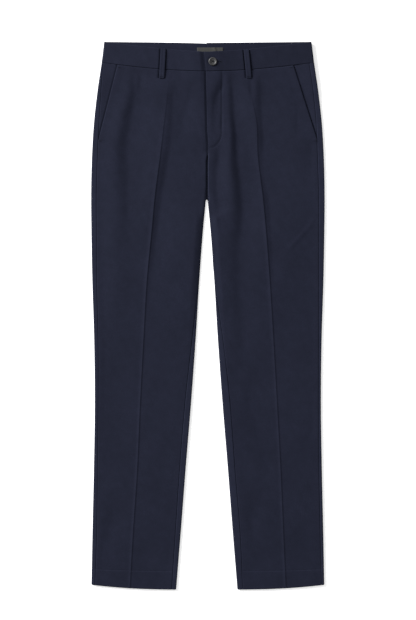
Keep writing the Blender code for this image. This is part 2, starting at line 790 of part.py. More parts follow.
def main():
    for old in list(bpy.data.objects):
        bpy.data.objects.remove(old)
    parts = bpy.data.collections.new("suit trousers")
    cutters = bpy.data.collections.new("cutters")
    bpy.context.scene.collection.children.link(parts)
    bpy.context.scene.collection.children.link(cutters)
    suiting = material("navy suiting", (0.019, 0.022, 0.037), 0.85)
    horn = material("grey button", (0.11, 0.11, 0.115), 0.35)
    thread = material("dark thread", (0.01, 0.011, 0.016), 0.8)
    tape = material("zip tape", (0.014, 0.016, 0.027), 0.8)
    metal = material("zip slider", (0.3, 0.3, 0.31), 0.35, 1.0)
    woven = material("label", (0.07, 0.07, 0.065), 0.8)
    make_legs(suiting, parts)
    make_facings(suiting, parts)
    make_waistband(suiting, parts, cutters)
    make_front_loops(suiting, parts)
    make_back_loops(suiting, parts)
    make_fly(suiting, tape, metal, parts)
    make_button(horn, thread, parts, cutters)
    make_label(woven, parts)


main()
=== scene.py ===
"""Suit trousers laid flat, front up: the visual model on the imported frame, with its floor, lights and camera.

+X is the wearer's left, +Y points to the waist and +Z is up, as in the frame. Lengths are in millimetres
and go to metres in to_metres(). The surfaces are grids of points, as arrays of rows by columns.
"""

import math
from collections import namedtuple

import bmesh
import bpy
import numpy as np
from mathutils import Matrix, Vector
from mathutils.bvhtree import BVHTree


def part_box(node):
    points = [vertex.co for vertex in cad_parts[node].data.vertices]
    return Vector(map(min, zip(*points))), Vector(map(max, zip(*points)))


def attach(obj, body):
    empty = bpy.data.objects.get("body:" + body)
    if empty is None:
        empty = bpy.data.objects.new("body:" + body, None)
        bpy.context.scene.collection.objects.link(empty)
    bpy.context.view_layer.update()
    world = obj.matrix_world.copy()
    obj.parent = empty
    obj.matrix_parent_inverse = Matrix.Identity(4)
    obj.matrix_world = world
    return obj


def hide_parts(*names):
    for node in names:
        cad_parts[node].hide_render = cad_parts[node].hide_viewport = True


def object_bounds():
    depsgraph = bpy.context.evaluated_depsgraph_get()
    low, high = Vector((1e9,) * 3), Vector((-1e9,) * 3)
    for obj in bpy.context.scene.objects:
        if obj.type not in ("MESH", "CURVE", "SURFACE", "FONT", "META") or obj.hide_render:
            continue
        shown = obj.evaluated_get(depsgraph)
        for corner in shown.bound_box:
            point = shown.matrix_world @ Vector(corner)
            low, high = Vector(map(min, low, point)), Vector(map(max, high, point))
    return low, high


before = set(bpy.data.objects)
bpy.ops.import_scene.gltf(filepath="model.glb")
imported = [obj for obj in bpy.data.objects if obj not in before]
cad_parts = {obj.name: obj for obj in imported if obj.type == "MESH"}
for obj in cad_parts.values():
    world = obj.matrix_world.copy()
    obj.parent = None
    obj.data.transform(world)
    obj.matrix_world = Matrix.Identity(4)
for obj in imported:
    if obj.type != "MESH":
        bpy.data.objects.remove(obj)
CAD_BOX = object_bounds()

MM = 0.001
LEFT, RIGHT = 1, -1  # the wearer's, and the sign of X
SIDES = {"right": RIGHT, "left": LEFT}


def node_box(name):
    """A CAD node's lowest and highest corners, in millimetres."""
    low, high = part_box(name)
    return np.array(low) / MM, np.array(high) / MM


# Places read from the frame
HEM_Y = CAD_BOX[0].y / MM
TOP_Y = CAD_BOX[1].y / MM
BACK_LIFT = node_box("waistband_right")[0][2]
BUTTON_LOW, BUTTON_HIGH = node_box("button")
BUTTON_HANG = (0.6, -1.0)  # how far off its solid's middle it hangs
BUTTON_X, BUTTON_Y = (BUTTON_LOW + BUTTON_HIGH)[:2] / 2 + BUTTON_HANG
BUTTON_RADIUS = (BUTTON_HIGH - BUTTON_LOW)[1] / 2
LABEL_LOW, LABEL_HIGH = node_box("label")

Span = namedtuple("Span", "start length")  # from its start, down or inwards if the length is negative

# The garment's lines, as in its solids
HEM_RISE = 9.6  # how much higher the hem is at the side
HEM_RISE_POWER = 2.2
FORK_Y = 232.4  # where the legs part
FORK_ROUND = 3.0  # length of the round end of the gap between the legs
CENTRE_X = -2.2  # the centre seams, at the fork
LEG_HEIGHT = 4.0  # from the surface to the top of a fold, along the legs
BAND_HEIGHT = 5.2  # the same at the waistband
SEAM_Y = 488.5  # the waist seam at the centre front
SEAM_RISE = 17.3  # how much higher it is at the side
SEAM_RISE_POWER = 1.7
SIDE_SEAM_Y = SEAM_Y + SEAM_RISE
FRONT_TOP_Y = 527.6  # the front waistband's upper edge at the centre
FRONT_TOP_POWER = 1.35
BACK_TOP_DIP = 2.0  # how much lower the back's upper edge is at the centre
BACK_TOP_STEP = 1.3  # and the right half's end, below the left half's
FLY_END_Y = 325.0
STITCH_END_Y = 334.8  # the lower end of the fly's stitching
FLY_LAP = 5.5  # how far the wearer's right front goes under the left
BAND_UNDERLAP = 34.0
POCKET_TOP_X = {LEFT: 170.8, RIGHT: 180.5}  # where the pocket mouth meets the waist seam
POCKET_TOP_Y = SEAM_Y + 12
POCKET_END_Y = 351.0
POCKET_END_IN = 11.5  # how far its lower end lies in from the side
POCKET_LINE_END_Y = POCKET_END_Y - 10  # below this its line counts no longer
POCKET_TUCK = 25.0  # how far the facing reaches under the front
LOOP_WIDTH = 10.5
LOOP_BOTTOM_Y = 474.0
HEM_ROWS = Span(-480, -68)  # the rows that follow the hem's curve
SEAM_ROWS = Span(400, SEAM_Y - 400)  # and those that follow the waist seam's
LIFT_ROWS = Span(415, 50)  # the cloth rises onto the back belt loops
BAND_ROWS = Span(430, 60)  # and its folds grow as thick as the waistband

# The cloth
WALL = 0.8
EDGE_ROUND = 0.25
EDGE_ANGLE = 55  # only edges sharper than this are rounded
SEAM_GAP = 0.02
SEAM_DEPTH = 0.9  # a seam's ditch
SEAM_REACH = 1.7
WAIST_SEAM_DEPTH = 1.5
INSEAM_DEPTH = {LEFT: 0.9, RIGHT: 1.3}
INSEAM_ROWS = Span(180, -120)  # from here down the inseam has its ditch
HIDDEN_INSEAM = 1.5  # where it lies under the fold, the ditch starts this far off
BACK_EASE = 0.18  # how far the back's underside stands off the surface
EASE_FROM_FOLD = Span(0, 25)
EASE_FROM_CREASE = Span(0, 5)
EASE_WAVES = (19, 61)  # lengths across and along
Wave = namedtuple("Wave", "length_x length_y phase height")
WAVES = [Wave(41, 97, 0.3, 0.10), Wave(67, 55, 1.7, 0.08), Wave(29, 139, 4.1, 0.07), Wave(113, 71, 2.6, 0.10)]
WAVE_BEAT = 0.37  # each wave swells and fades at this share of its own turn
WAVE_BEAT_Y = 83

# The fronts' broad form
LOFT = 2.4  # how far the front stands up over its edges, between hip and thigh
LOFT_START = Span(-170, 300)
LOFT_END = Span(492, -80)
SAG = 0.25  # how far it lies lower than its folds down the leg
SAG_ROWS = Span(470, -60)
CENTRE_FLAT = {LEFT: 22.0, RIGHT: 4.0}  # the flat strip beside the fly
CENTRE_FLAT_ROWS = Span(FLY_END_Y - 60, 110)
CENTRE_SLOPE = {LEFT: 62.0, RIGHT: 75.0}  # and how far beyond it the front reaches its full loft
LEG_SLOPE = 16  # the same beside the inner fold of a leg
CENTRE_SLOPE_ROWS = Span(FORK_Y - 40, 30)
SIDE_SLOPE = {LEFT: 100.0, RIGHT: 42.0}  # and beside the outer fold
FADE_SIDE = Span(2, 12)  # the soft folds die out towards the side
FADE_INNER = Span(2, 10)  # and towards the inner fold
FADE_CENTRE = Span(0, 4)  # or the centre seam
FADE_ROWS = Span(FORK_Y, 30)
FRONT_ROOM = 0.4  # the least between a deep fold and the back under it
FRONT_ROOM_SHARPNESS = 3
CREASE_POWER = 1.4
CREASE_STEEP_REACH = 2.6

# The seam between the fly and the fork, where the fronts' edges turn down and gape
CENTRE_DEPTH = 2.2
CENTRE_START = Span(FORK_Y - 6, 12)
CENTRE_END = Span(FLY_END_Y + 5, -8)
CENTRE_REACH = {LEFT: 2.2, RIGHT: 3.0}
FORK_REACH = {LEFT: 1.5, RIGHT: 5.0}  # wider by this at the fork
FORK_REACH_ROWS = Span(FORK_Y + 26, -26)
GAPE_EDGE_X = {LEFT: 0.0, RIGHT: -2.7}
GAPE_ROWS = Span(FLY_END_Y + 6, -24)
FORK_FLARE = {LEFT: 1.3, RIGHT: 0.0}  # and further just above the fork
FLARE_ROWS = Span(FORK_Y + 13, -10)
BACK_SHIFT = 3.2  # the centre back seam lies out of sight under the left front
BACK_SHIFT_ROWS = Span(FORK_Y, 6)
BACK_SEAM_ROWS = Span(FORK_Y + 4, 8)

# The fly: the left front lies on the right one, which swells beside it and sinks along its edge
FLY_LIFT = 1.3
FLY_TOP_LIFT = 2.3
FLY_LIFT_ROWS = Span(395, 45)
FLY_START = Span(FLY_END_Y - 45, 38)
FLY_FALL = Span(4, 22)  # across, where the left front comes down to the right one's level
BAND_FALL = Span(10, 50)  # and at the waist
AT_WAIST = Span(440, 45)
FLY_STEP_SHARE = 0.25  # this share of it comes down at the stitches
FLY_STEP_WIDTH = Span(0, 4)
FLY_STEP_START = Span(STITCH_END_Y - 4, 6)
FLY_STEP_ROWS = Span(445, 35)
FLY_EDGE_TURN = 0.5
FLY_EDGE_REACH = 1.0
FLY_TURN_ROWS = Span(FLY_END_Y - 3, 8)
FLY_DIP = 2.0  # how far the right front sinks beside the fly's edge
FLY_DIP_REACH = 5.0
FLY_LOW_DIP = 0.3  # and further at the lower end of the fly
FLY_LOW_ROWS = Span(430, -60)
FLY_SOFT_DIP = 0.55  # the broader hollow round it
FLY_SOFT_REACH = 13.0
FLY_TOP_DIP = 0.7  # and how much deeper it is near the waist
FLY_TOP_ROWS = Span(440, 36)
LAP_ROWS = Span(FLY_END_Y - 7, 16)
LAP_ROOM = 0.05
LAP_LEVEL = Span(0.3, 1.2)  # from the fly's edge in, the right front comes to lie on the guard
RIGHT_SWELL = 1.6
SWELL_REACH = Span(60, -45)
SWELL_ROWS = Span(FLY_END_Y, 40)
STITCH_X = 28.1  # the fly's stitching
STITCH_TURN_Y = 369.0  # where it starts to curve in to the centre
STITCH_DITCH = 0.3
STITCH_DITCH_REACH = 1.5
STITCH_DITCH_ROWS = Span(STITCH_END_Y - 2, 3)

# Folds, hem and pockets
Squash = namedtuple("Squash", "share reach start end")
SQUASH = {  # the inner folds are pressed flatter, the right one above the knee and the left one below
    LEFT: Squash(0.36, 20.0, Span(-460, 80), Span(40, -90)),
    RIGHT: Squash(0.5, 8.0, Span(-95, 120), Span(FORK_Y + 25, -25)),
}
HEM_DEPTH = 37.0  # of the hem's turn-up
HEM_STRIP_ROWS = (HEM_DEPTH, 0.66 * HEM_DEPTH, 0.33 * HEM_DEPTH, 4.0)  # of its inside, up from the hem
HEM_TURNS = 7
HEM_STEP = 0.25  # the doubled hem stands a little higher
HEM_STEP_WIDTH = Span(1, -3)
HEM_DIMPLE = 0.22
HEM_DIMPLE_REACH = 1.1
MOUTH_SHALLOW = 0.5  # the front's edge turns down less at the pocket mouth, by this share
MOUTH_ROWS = Span(POCKET_END_Y, 4)
LIP = 0.5  # the pocket mouth's edge stands up
LIP_ROWS = Span(POCKET_END_Y - 8, 8)
LIP_WIDTH = Span(2, 16)
FACING_DROP = {LEFT: 1.2, RIGHT: 0.4}  # how far the facing lies below the side seam
FACING_FULL_WIDTH = 12
FACING_SINK = 0.7  # and further under the mouth
FACING_SINK_WIDTH = Span(4.0, -4.0)
FACING_SEAM_DEPTH = 0.7 * SEAM_DEPTH
FACING_DITCH_WIDTH = 4
FACING_LEAST_WIDTH = 0.5
FACING_EDGE_SHARE = 0.96

# The zip and the guard behind it, as heights over the cloth's underside
TAPE_WALL = 0.5
TAPE_LEVELS = (2.6, 3.0)  # the lowest and the highest
GUARD_LEVELS = (1.7, 2.0)
ZIP_ROOM = 1.1  # between the tape and the left front, for the teeth and the slider
GUARD_ROOM = 0.6
TAPE_PLACE = Span(FLY_LAP + 0.3, 24.0)  # across, from the fly's edge
GUARD_PLACE = Span(-3.0, 34.0)

# Waistband, belt loops, button and label
BAND_WALL = 1.8
BAND_ROUND = 0.7
BAND_DIP = 2.25  # how far the right waistband sinks under the left one's end
BAND_DIP_REACH = 11.0
BAND_END_TURN = 0.5
BAND_END_REACH = 1.1
UNDERLAP_DIP = 0.3
UNDERLAP_DIP_X = Span(24, 8)
TAB_SLOPE = 0.7  # the left half's end slopes down to its edge
TAB_SLOPE_WIDTH = Span(20, -25)
BAND_EDGE_DEPTH = 0.9
BAND_EDGE_REACH = 1.2
LOOP_SINK = 1.5  # the cloth gives way beside a front belt loop
LOOP_SINK_START = 0.3
LOOP_SINK_REACH = 1.5
LOOP_SINK_ROWS = Span(LOOP_BOTTOM_Y - 1, 3)
LOOP_WALL = 1.2
LOOP_DEPTH = 2.4  # a front loop is folded double, and its edges reach down beside the sunken cloth
LOOP_ARCH = 0.9
LOOP_ARCH_POWER = 0.7
LOOP_REST = 0.2
LOOP_CORNER = 1.3
LOOP_EDGE_TURN = 0.4
LOOP_EDGE_REACH = 1.2
LOOP_DITCH = 0.16
LOOP_DITCH_REACH = 0.6
LOOP_SEWN = 0.3  # its tack draws it down
LOOP_SEWN_REACH = 0.9
LOOP_TACK = 3.0  # from its lower end
LOOP_END_TURN = 1.4  # its lower end turns down to the cloth
LOOP_END_REACH = 1.8
LOOP_SEAM_STEP = Span(-12, 10)  # at the waist seam it steps up onto the waistband
BACK_LOOP_SHARE = 0.6  # a back loop's section is flatter by this
BUTTON_SINK = 0.6
BUTTON_SINK_REACH = 1.6
BUTTON_BASE = BUTTON_LOW[2] - 0.45  # it lies closer to the cloth than its solid
HOLE_START_X = 9.3  # the buttonhole, from here to its eyelet
EYELET_X = 26.5
EYELET_RADIUS = 0.9
SLIT_WIDTH = 0.4
THREAD_ROOM = 1.6
KEYHOLE_SNAP = 0.16  # the mesh's points this near to the hole's outline are drawn onto it
KEYHOLE_STEP = 0.01
LABEL_WALL = 0.4
LABEL_SINK = 0.4
LABEL_RIB = 0.07  # its ribs are 1 mm apart, and start a little in from its ends
LABEL_RIB_START = Span(1.2, 0.4)
LABEL_EDGE_TURN = 0.2
LABEL_EDGE_REACH = 0.5
LABEL_BEND = 0.75  # the ridge across the label
LABEL_BEND_X = 13.5
LABEL_BEND_LEAN = 0.3
LABEL_BEND_REACHES = (4.6, 2.2)  # on the wearer's right of it and on the left
LABEL_BEND_ROWS = Span(FRONT_TOP_Y, 2.5)

# Floor, light and camera, in metres
FLOOR_HALF = 6.0
FLOOR_ROOM = 0.0001
CAMERA_PLACE = (0.0003, 0.0114, 2.932)
LIGHT_DISTANCE = 6.5
LIGHT_SIZE = 2.8
LIGHT_ELEVATION = 20
LIGHT_SIDE = (-0.83, 0.56)  # its direction in plan
LIGHT_POWER = 1200.0
FLOOR_GLOW = 0.36  # lightens the garment's shadow on the floor
ROOM_LIGHT = 0.62

# One row for each section across the legs, from the hem up, as in the solids. outer: half the width.
# inner: half the gap between the legs. Then for the wearer's right and left: the crease's distance from
# the middle, how far the side seam lies in from the outer fold, and the inseam from the inner fold.
Section = namedtuple("Section", "y outer inner crease_r crease_l side_r side_l inseam_r inseam_l")
SECTIONS = [
    Section(-548, 233.2, 61.3, 156.4, 155.9, 7.0, 5.3, 8.6, 11.0),
    Section(-433, 231.0, 52.0, 149.8, 150.8, 9.0, 6.0, 10.3, 15.0),
    Section(-305, 228.2, 42.1, 141.3, 145.2, 7.7, 5.7, 11.6, 14.3),
    Section(-177, 226.3, 31.6, 135.7, 138.4, 7.2, 4.5, 11.7, 15.3),
    Section(-49, 227.7, 22.3, 128.9, 131.1, 8.5, 5.6, 7.0, 10.5),
    Section(79, 231.6, 14.4, 121.4, 123.1, 9.4, 9.5, 0.8, 0.8),
    Section(175, 233.3, 7.2, 112.0, 115.7, 10.8, 11.2, 0.0, 0.0),
    Section(FORK_Y, 233.8, 2.0, 106.8, 110.4, 10.9, 11.6, 0.0, 0.0),
    Section(323, 231.9, 0.0, 95.2, 99.7, 11.5, 12.3, 0.0, 0.0),
    Section(387, 228.0, 0.0, 87.6, 97.0, 10.5, 11.0, 0.0, 0.0),
    Section(451, 220.7, 0.0, 80.5, 84.0, 7.5, 10.1, 0.0, 0.0),
    Section(507, 212.4, 0.0, 76.0, 78.0, 3.5, 10.0, 0.0, 0.0),
    Section(548, 207.3, 0.0, 74.0, 76.0, 3.5, 10.0, 0.0, 0.0),
]

Edge = namedtuple("Edge", "y x")
FLY_EDGE = [
    Edge(FORK_Y, CENTRE_X), Edge(338, 1.2), Edge(370, -0.9), Edge(421, -2.1), Edge(489, -3.5),
    Edge(528, -7.3),
]

FrontLoop = namedtuple("FrontLoop", "name top_x bottom_x")
FRONT_LOOPS = [FrontLoop("right", -89.0, -92.2), FrontLoop("left", 76.6, 82.4)]
BACK_LOOPS = ["right", "centre", "left"]

# The pressed creases: how high the ridge is, and how far it reaches to either side of itself.
Ridge = namedtuple("Ridge", "y height reach")
CREASE = {
    RIGHT: [
        Ridge(-548, 0.7, 5), Ridge(-300, 0.75, 5), Ridge(0, 0.8, 6), Ridge(230, 0.9, 7),
        Ridge(330, 0.6, 8), Ridge(420, 0.25, 9), Ridge(478, 0.0, 9),
    ],
    LEFT: [
        Ridge(-548, 0.7, 5), Ridge(-300, 0.75, 5), Ridge(0, 0.8, 6), Ridge(230, 0.9, 7),
        Ridge(330, 0.7, 8), Ridge(420, 0.3, 9), Ridge(455, 0.0, 9),
    ],
}

# The soft folds of the front, each a trough or a ridge that runs through its rows. x: its middle.
# left and right: how far its two sides reach. height: up, or down if negative, and 0 at its ends.
# In these rows and in the words "left of" and "right of", left and right are those of someone who looks at
# the front, with -X on the left. In all other words they are the wearer's.
FoldRow = namedtuple("FoldRow", "y x left right height")
FOLD_TABLES = {
    "right hip": [
        (498, -146, 9, 34, 0.0), (462, -145, 9, 34, -1.3), (430, -145, 12, 38, -2.7),
        (395, -150, 17, 44, -3.7), (337, -158, 18, 52, -3.9), (281, -157, 18, 54, -3.3),
        (211, -158, 13, 50, -1.6), (140, -155, 14, 45, -0.8), (60, -152, 14, 40, 0.0),
    ],
    "right pleat": [
        (492, -134, 4, 9, 0.0), (466, -135, 4, 9, -0.7), (436, -137, 5, 10, 0.0),
    ],
    "right lap": [
        (478, -28, 8, 14, 0.0), (450, -32, 8, 14, -0.4), (400, -46, 9, 16, -0.4), (360, -54, 9, 16, 0.0),
    ],
    "right of the right crease": [
        (475, -62, 9, 34, 0.0), (436, -68, 9, 38, -1.2), (395, -69, 10, 42, -1.7), (337, -73, 12, 48, -2.5),
        (281, -83, 12, 48, -2.9), (211, -94, 11, 44, -2.6), (137, -104, 8, 36, -1.4),
        (60, -113, 6, 26, -0.6), (-20, -118, 6, 20, 0.0),
    ],
    "left main": [
        (488, 48, 6, 20, 0.0), (461, 50, 6, 20, -1.3), (411, 55, 9, 30, -3.2), (361, 61, 9, 34, -4.9),
        (311, 68, 16, 42, -5.7), (261, 72, 16, 44, -5.1), (211, 72, 13, 40, -3.8), (177, 70, 14, 34, -2.9),
        (137, 65, 15, 32, -2.3), (87, 64, 16, 28, -1.9), (31, 67, 15, 26, -1.6), (-30, 70, 14, 24, -0.9),
        (-110, 72, 14, 24, 0.0),
    ],
    "left ridge": [
        (430, 38, 20, 8, 0.0), (385, 41, 24, 8, 0.9), (350, 43, 26, 9, 1.5), (300, 43, 28, 11, 1.7),
        (255, 46, 30, 13, 1.2), (215, 47, 28, 12, 0.6), (175, 46, 24, 12, 0.0),
    ],
    "left thigh": [
        (340, 24, 9, 18, 0.0), (316, 23, 9, 18, -1.5), (288, 20, 10, 20, -2.0), (251, 20, 9, 20, -1.9),
        (211, 23, 8, 18, -1.0), (170, 27, 6, 12, 0.0),
    ],
    "right of the left crease": [
        (488, 106, 7, 30, 0.0), (462, 108, 8, 32, -1.1), (420, 109, 10, 36, -2.1), (377, 112, 11, 42, -3.0),
        (320, 118, 13, 54, -4.4), (270, 122, 13, 54, -4.2), (230, 125, 12, 48, -3.4),
        (181, 127, 8, 34, -1.5), (120, 130, 6, 24, -0.8), (30, 136, 6, 18, 0.0),
    ],
    "right leg": [
        (230, -112, 70, 45, 0.0), (140, -114, 80, 48, -1.0), (40, -120, 85, 50, -1.2),
        (-60, -126, 85, 50, -1.3), (-170, -134, 85, 46, -0.9), (-280, -140, 80, 40, 0.0),
    ],
    "left leg": [
        (250, 108, 60, 95, 0.0), (140, 106, 60, 95, -1.1), (40, 106, 60, 95, -1.3),
        (-80, 110, 60, 95, -1.3), (-220, 114, 60, 95, -1.1), (-360, 120, 60, 90, 0.0),
    ],
    "left of the left crease": [
        (486, 86, 4, 6, 0.0), (452, 86, 4, 6, -0.6), (425, 88, 4, 6, 0.0),
    ],
    "across the left thigh": [
        (124, 152, 3, 6, 0.0), (143, 169, 2.5, 6, 0.5), (172, 196, 2.5, 5, 0.6), (203, 222, 2.5, 5, 0.0),
    ],
    "left pocket bag": [
        (430, 178, 2, 5, 0.0), (392, 178, 2, 5, -0.3), (350, 179, 2, 5, 0.0),
    ],
    "left pocket end": [
        (352, 205, 12, 14, 0.0), (335, 206, 12, 14, -0.2), (270, 208, 12, 14, -0.2),
        (180, 210, 12, 14, 0.0),
    ],
    "fly top": [
        (490, 31, 8, 4, 0.0), (474, 31, 8, 4, -0.9), (462, 29, 8, 5, -1.1), (450, 24, 8, 6, -1.0),
        (438, 19, 7, 8, -0.8), (415, 14, 5, 10, -0.6), (385, 13, 5, 10, -0.4), (355, 14, 5, 9, 0.0),
    ],
    "fly side": [
        (408, 27, 4, 3, 0.0), (390, 28, 4, 3, -0.6), (362, 27, 4, 3, 0.0),
    ],
    "left knee": [
        (-100, 92, 12, 20, 0.0), (-150, 90, 12, 20, -0.9), (-200, 91, 13, 20, -0.9),
        (-245, 104, 12, 20, -0.5), (-290, 112, 12, 20, -0.5), (-330, 112, 12, 20, 0.0),
    ],
    "left shin": [
        (-345, 92, 12, 20, 0.0), (-385, 91, 12, 20, -0.7), (-440, 91, 12, 20, -0.8),
        (-490, 92, 12, 20, 0.0),
    ],
    "left ankle": [
        (-420, 190, 22, 20, 0.0), (-470, 190, 22, 20, -0.5), (-506, 190, 22, 20, 0.0),
    ],
    "right shin": [
        (-345, -190, 14, 20, 0.0), (-400, -190, 14, 20, -0.7), (-450, -203, 12, 18, -0.5),
        (-500, -212, 10, 16, 0.0),
    ],
    "right ankle": [
        (-440, -118, 20, 22, 0.0), (-490, -118, 20, 22, -0.5), (-506, -118, 20, 22, 0.0),
    ],
    "right knee": [
        (-20, -184, 14, 20, 0.0), (-90, -182, 14, 20, -0.5), (-160, -184, 14, 20, 0.0),
    ],
}
FOLDS = {name: [FoldRow(*row) for row in rows] for name, rows in FOLD_TABLES.items()}


def to_metres(values):
    return np.asarray(values, float) * MM


def ramp(t):
    """0 below 0, 1 above 1, and a smooth rise between."""
    t = np.clip(t, 0.0, 1.0)
    return t * t * (3 - 2 * t)


def rise(start, length, at):
    """A smooth rise from 0 at start to 1 after length, which is negative for one that runs the other way."""
    return ramp((at - start) / length)


def blend(one, other, share):
    return one + (other - one) * share


def blended_span(one, other, share):
    return Span(blend(one.start, other.start, share), blend(one.length, other.length, share))


def bell(distance, reach):
    """1 in the middle, fading to 0 on both sides."""
    return np.exp(-((distance / reach) ** 2))


def rolled(distance, reach):
    """How far an edge has turned down at a distance from it, as a share: a quarter of a round."""
    t = np.clip(1 - distance / reach, 0.0, 1.0)
    return 1 - np.sqrt(1 - t * t)


def curve_through(rows, column):
    """A smooth curve through one column of a table, as a function of y."""
    rows = sorted(rows, key=lambda row: row.y)
    ys = np.array([row.y for row in rows], float)
    values = np.array([getattr(row, column) for row in rows], float)
    slopes = np.gradient(values, ys)

    def at(y):
        y = np.clip(y, ys[0], ys[-1])
        i = np.clip(np.searchsorted(ys, y) - 1, 0, len(ys) - 2)
        span = ys[i + 1] - ys[i]
        t = (y - ys[i]) / span
        change = values[i + 1] - values[i]
        start = span * slopes[i]
        end = span * slopes[i + 1]
        square = 3 * change - 2 * start - end
        cube = start + end - 2 * change
        return values[i] + t * (start + t * (square + t * cube))

    return at


CURVES = {column: curve_through(SECTIONS, column) for column in Section._fields[1:]}
CREASE_HEIGHT = {side: curve_through(CREASE[side], "height") for side in CREASE}
CREASE_REACH = {side: curve_through(CREASE[side], "reach") for side in CREASE}


def of_side(name, side, y):
    return CURVES[name + ("_l" if side == LEFT else "_r")](y)


# The garment's lines


def outer_x(y):
    return CURVES["outer"](y)


def inner_offset(y):
    """Half the gap between the legs: a round end at the fork, and half a seam gap above it."""
    round_end = np.sqrt(np.clip((FORK_Y - y) / FORK_ROUND, 0.0, 1.0))
    return np.where(y >= FORK_Y, SEAM_GAP / 2, np.maximum(SEAM_GAP / 2, CURVES["inner"](y) * round_end))


def fly_edge_x(y):
    return np.interp(y, [row.y for row in FLY_EDGE], [row.x for row in FLY_EDGE])


def inner_x(side, y):
    """Signed x of the inner fold below the fork, and of the centre seam above it."""
    return np.where(y < FORK_Y, CENTRE_X, fly_edge_x(y)) + side * inner_offset(y)


def front_inner_x(side, y):
    """The same for a front's edge, which gapes between the fly and the fork."""
    gape = np.maximum(side * (GAPE_EDGE_X[side] - fly_edge_x(y)), 0.0)
    gape = gape * rise(*GAPE_ROWS, y) + FORK_FLARE[side] * rise(*FLARE_ROWS, y)
    gape = gape * (y > FORK_Y - FORK_ROUND)
    return np.where(y < FORK_Y, CENTRE_X, fly_edge_x(y)) + side * np.maximum(inner_offset(y), gape)


def back_inner_x(side, y):
    """The same for a back's edge."""
    return inner_x(side, y) + BACK_SHIFT * rise(*BACK_SHIFT_ROWS, y)


def pocket_x(side, y):
    """The pocket mouth's distance from the middle."""
    t = (y - POCKET_END_Y) / (POCKET_TOP_Y - POCKET_END_Y)
    return blend(outer_x(POCKET_END_Y) - POCKET_END_IN, POCKET_TOP_X[side], t)


def side_seam_x(side, y):
    return outer_x(y) - of_side("side", side, y)


def front_edge_x(side, y):
    """Where the front ends at the side: the side seam, or the pocket mouth above its end."""
    seam = side_seam_x(side, y)
    return np.where(y > POCKET_LINE_END_Y, np.minimum(seam, pocket_x(side, y)), seam)


def hem_rise(x):
    start = CURVES["inner"](HEM_Y)
    t = (np.abs(x) - start) / (outer_x(HEM_Y) - start)
    return HEM_RISE * np.clip(t, 0.0, None) ** HEM_RISE_POWER


def seam_rise(x):
    """How far the front's waist seam is above SEAM_Y."""
    return SEAM_RISE * np.minimum(np.abs(x) / outer_x(SIDE_SEAM_Y), 1.0) ** SEAM_RISE_POWER


def front_top_y(x):
    share = np.minimum(np.abs(x) / outer_x(TOP_Y), 1.0)
    return blend(FRONT_TOP_Y, TOP_Y, share**FRONT_TOP_POWER)


def back_top_y(x):
    middle = 1 - np.minimum(np.abs(x) / outer_x(TOP_Y), 1.0)
    return TOP_Y - BACK_TOP_DIP * middle - np.where(x < CENTRE_X, BACK_TOP_STEP * middle**4, 0.0)


# The garment's levels


def lift(y):
    """The back's underside: on the surface, and on the back belt loops near the waist."""
    return BACK_LIFT * rise(*LIFT_ROWS, y)


def fold_radius(y):
    return blend(LEG_HEIGHT, BAND_HEIGHT, rise(*BAND_ROWS, y)) / 2


def fold_top(y):
    return lift(y) + 2 * fold_radius(y)


def fold_level(distance, y, upper):
    """Height of the outer surface at a distance in from a fold, on the upper or the lower side of it."""
    radius = fold_radius(y)
    drop = np.maximum(0.0, radius - distance)
    half = np.sqrt(np.maximum(radius**2 - drop**2, 0.0))
    return lift(y) + radius + np.where(upper, half, -half)


def fold_shape(rows, x, y):
    """A soft fold's height over the whole grid, round across, with unlike sides."""
    middle, left, right, height = (curve_through(rows, name)(y) for name in FoldRow._fields[1:])
    inside = (y > min(row.y for row in rows)) & (y < max(row.y for row in rows))
    across = x - middle
    return np.where(inside, height * bell(across, np.where(across < 0, left, right)), 0.0)


def crease_shape(side, x, y):
    """The pressed ridge, steeper on the wearer's left of it."""
    across = x - side * of_side("crease", side, y)
    away = np.where(across < 0, -across / CREASE_REACH[side](y), across / CREASE_STEEP_REACH)
    height = np.maximum(CREASE_HEIGHT[side](y), 0.0)
    return height * np.clip(1 - away, 0.0, 1.0) ** CREASE_POWER


def waviness(x, y):
    """A faint unevenness, so that no stretch of cloth is quite flat."""
    total = 0.0
    for wave in WAVES:
        turn = 2 * math.pi * (x / wave.length_x + y / wave.length_y) + wave.phase
        total = total + wave.height * np.sin(turn) * np.sin(WAVE_BEAT * turn + 2 * math.pi * y / WAVE_BEAT_Y)
    return total


def loop_sink(x, y):
    """How far the cloth gives way under and beside the front belt loops."""
    total = 0.0
    for loop in FRONT_LOOPS:
        t = (y - LOOP_BOTTOM_Y) / (front_top_y(loop.top_x) - LOOP_BOTTOM_Y)
        middle = blend(loop.bottom_x, loop.top_x, t)
        beside = np.maximum(np.abs(x - middle) - LOOP_WIDTH / 2 - LOOP_SINK_START, 0.0)
        total = total + LOOP_SINK * bell(beside, LOOP_SINK_REACH) * rise(*LOOP_SINK_ROWS, y)
    return total


def button_sink(x, y):
    """The button's thread draws the waistband down under it."""
    away = np.maximum(np.hypot(x - BUTTON_X, y - BUTTON_Y) - BUTTON_RADIUS, 0.0)
    return BUTTON_SINK * bell(away, BUTTON_SINK_REACH)


def stitch_inside(x, y):
    """How far a point of the left front lies inside the fly's line of stitches."""
    half = STITCH_X - fly_edge_x(STITCH_END_Y)
    depth = STITCH_TURN_Y - STITCH_END_Y
    round_part = (np.hypot((x - fly_edge_x(STITCH_END_Y)) / half, (y - STITCH_TURN_Y) / depth) - 1) * half
    return np.where(y > STITCH_TURN_Y, STITCH_X - x, -round_part)


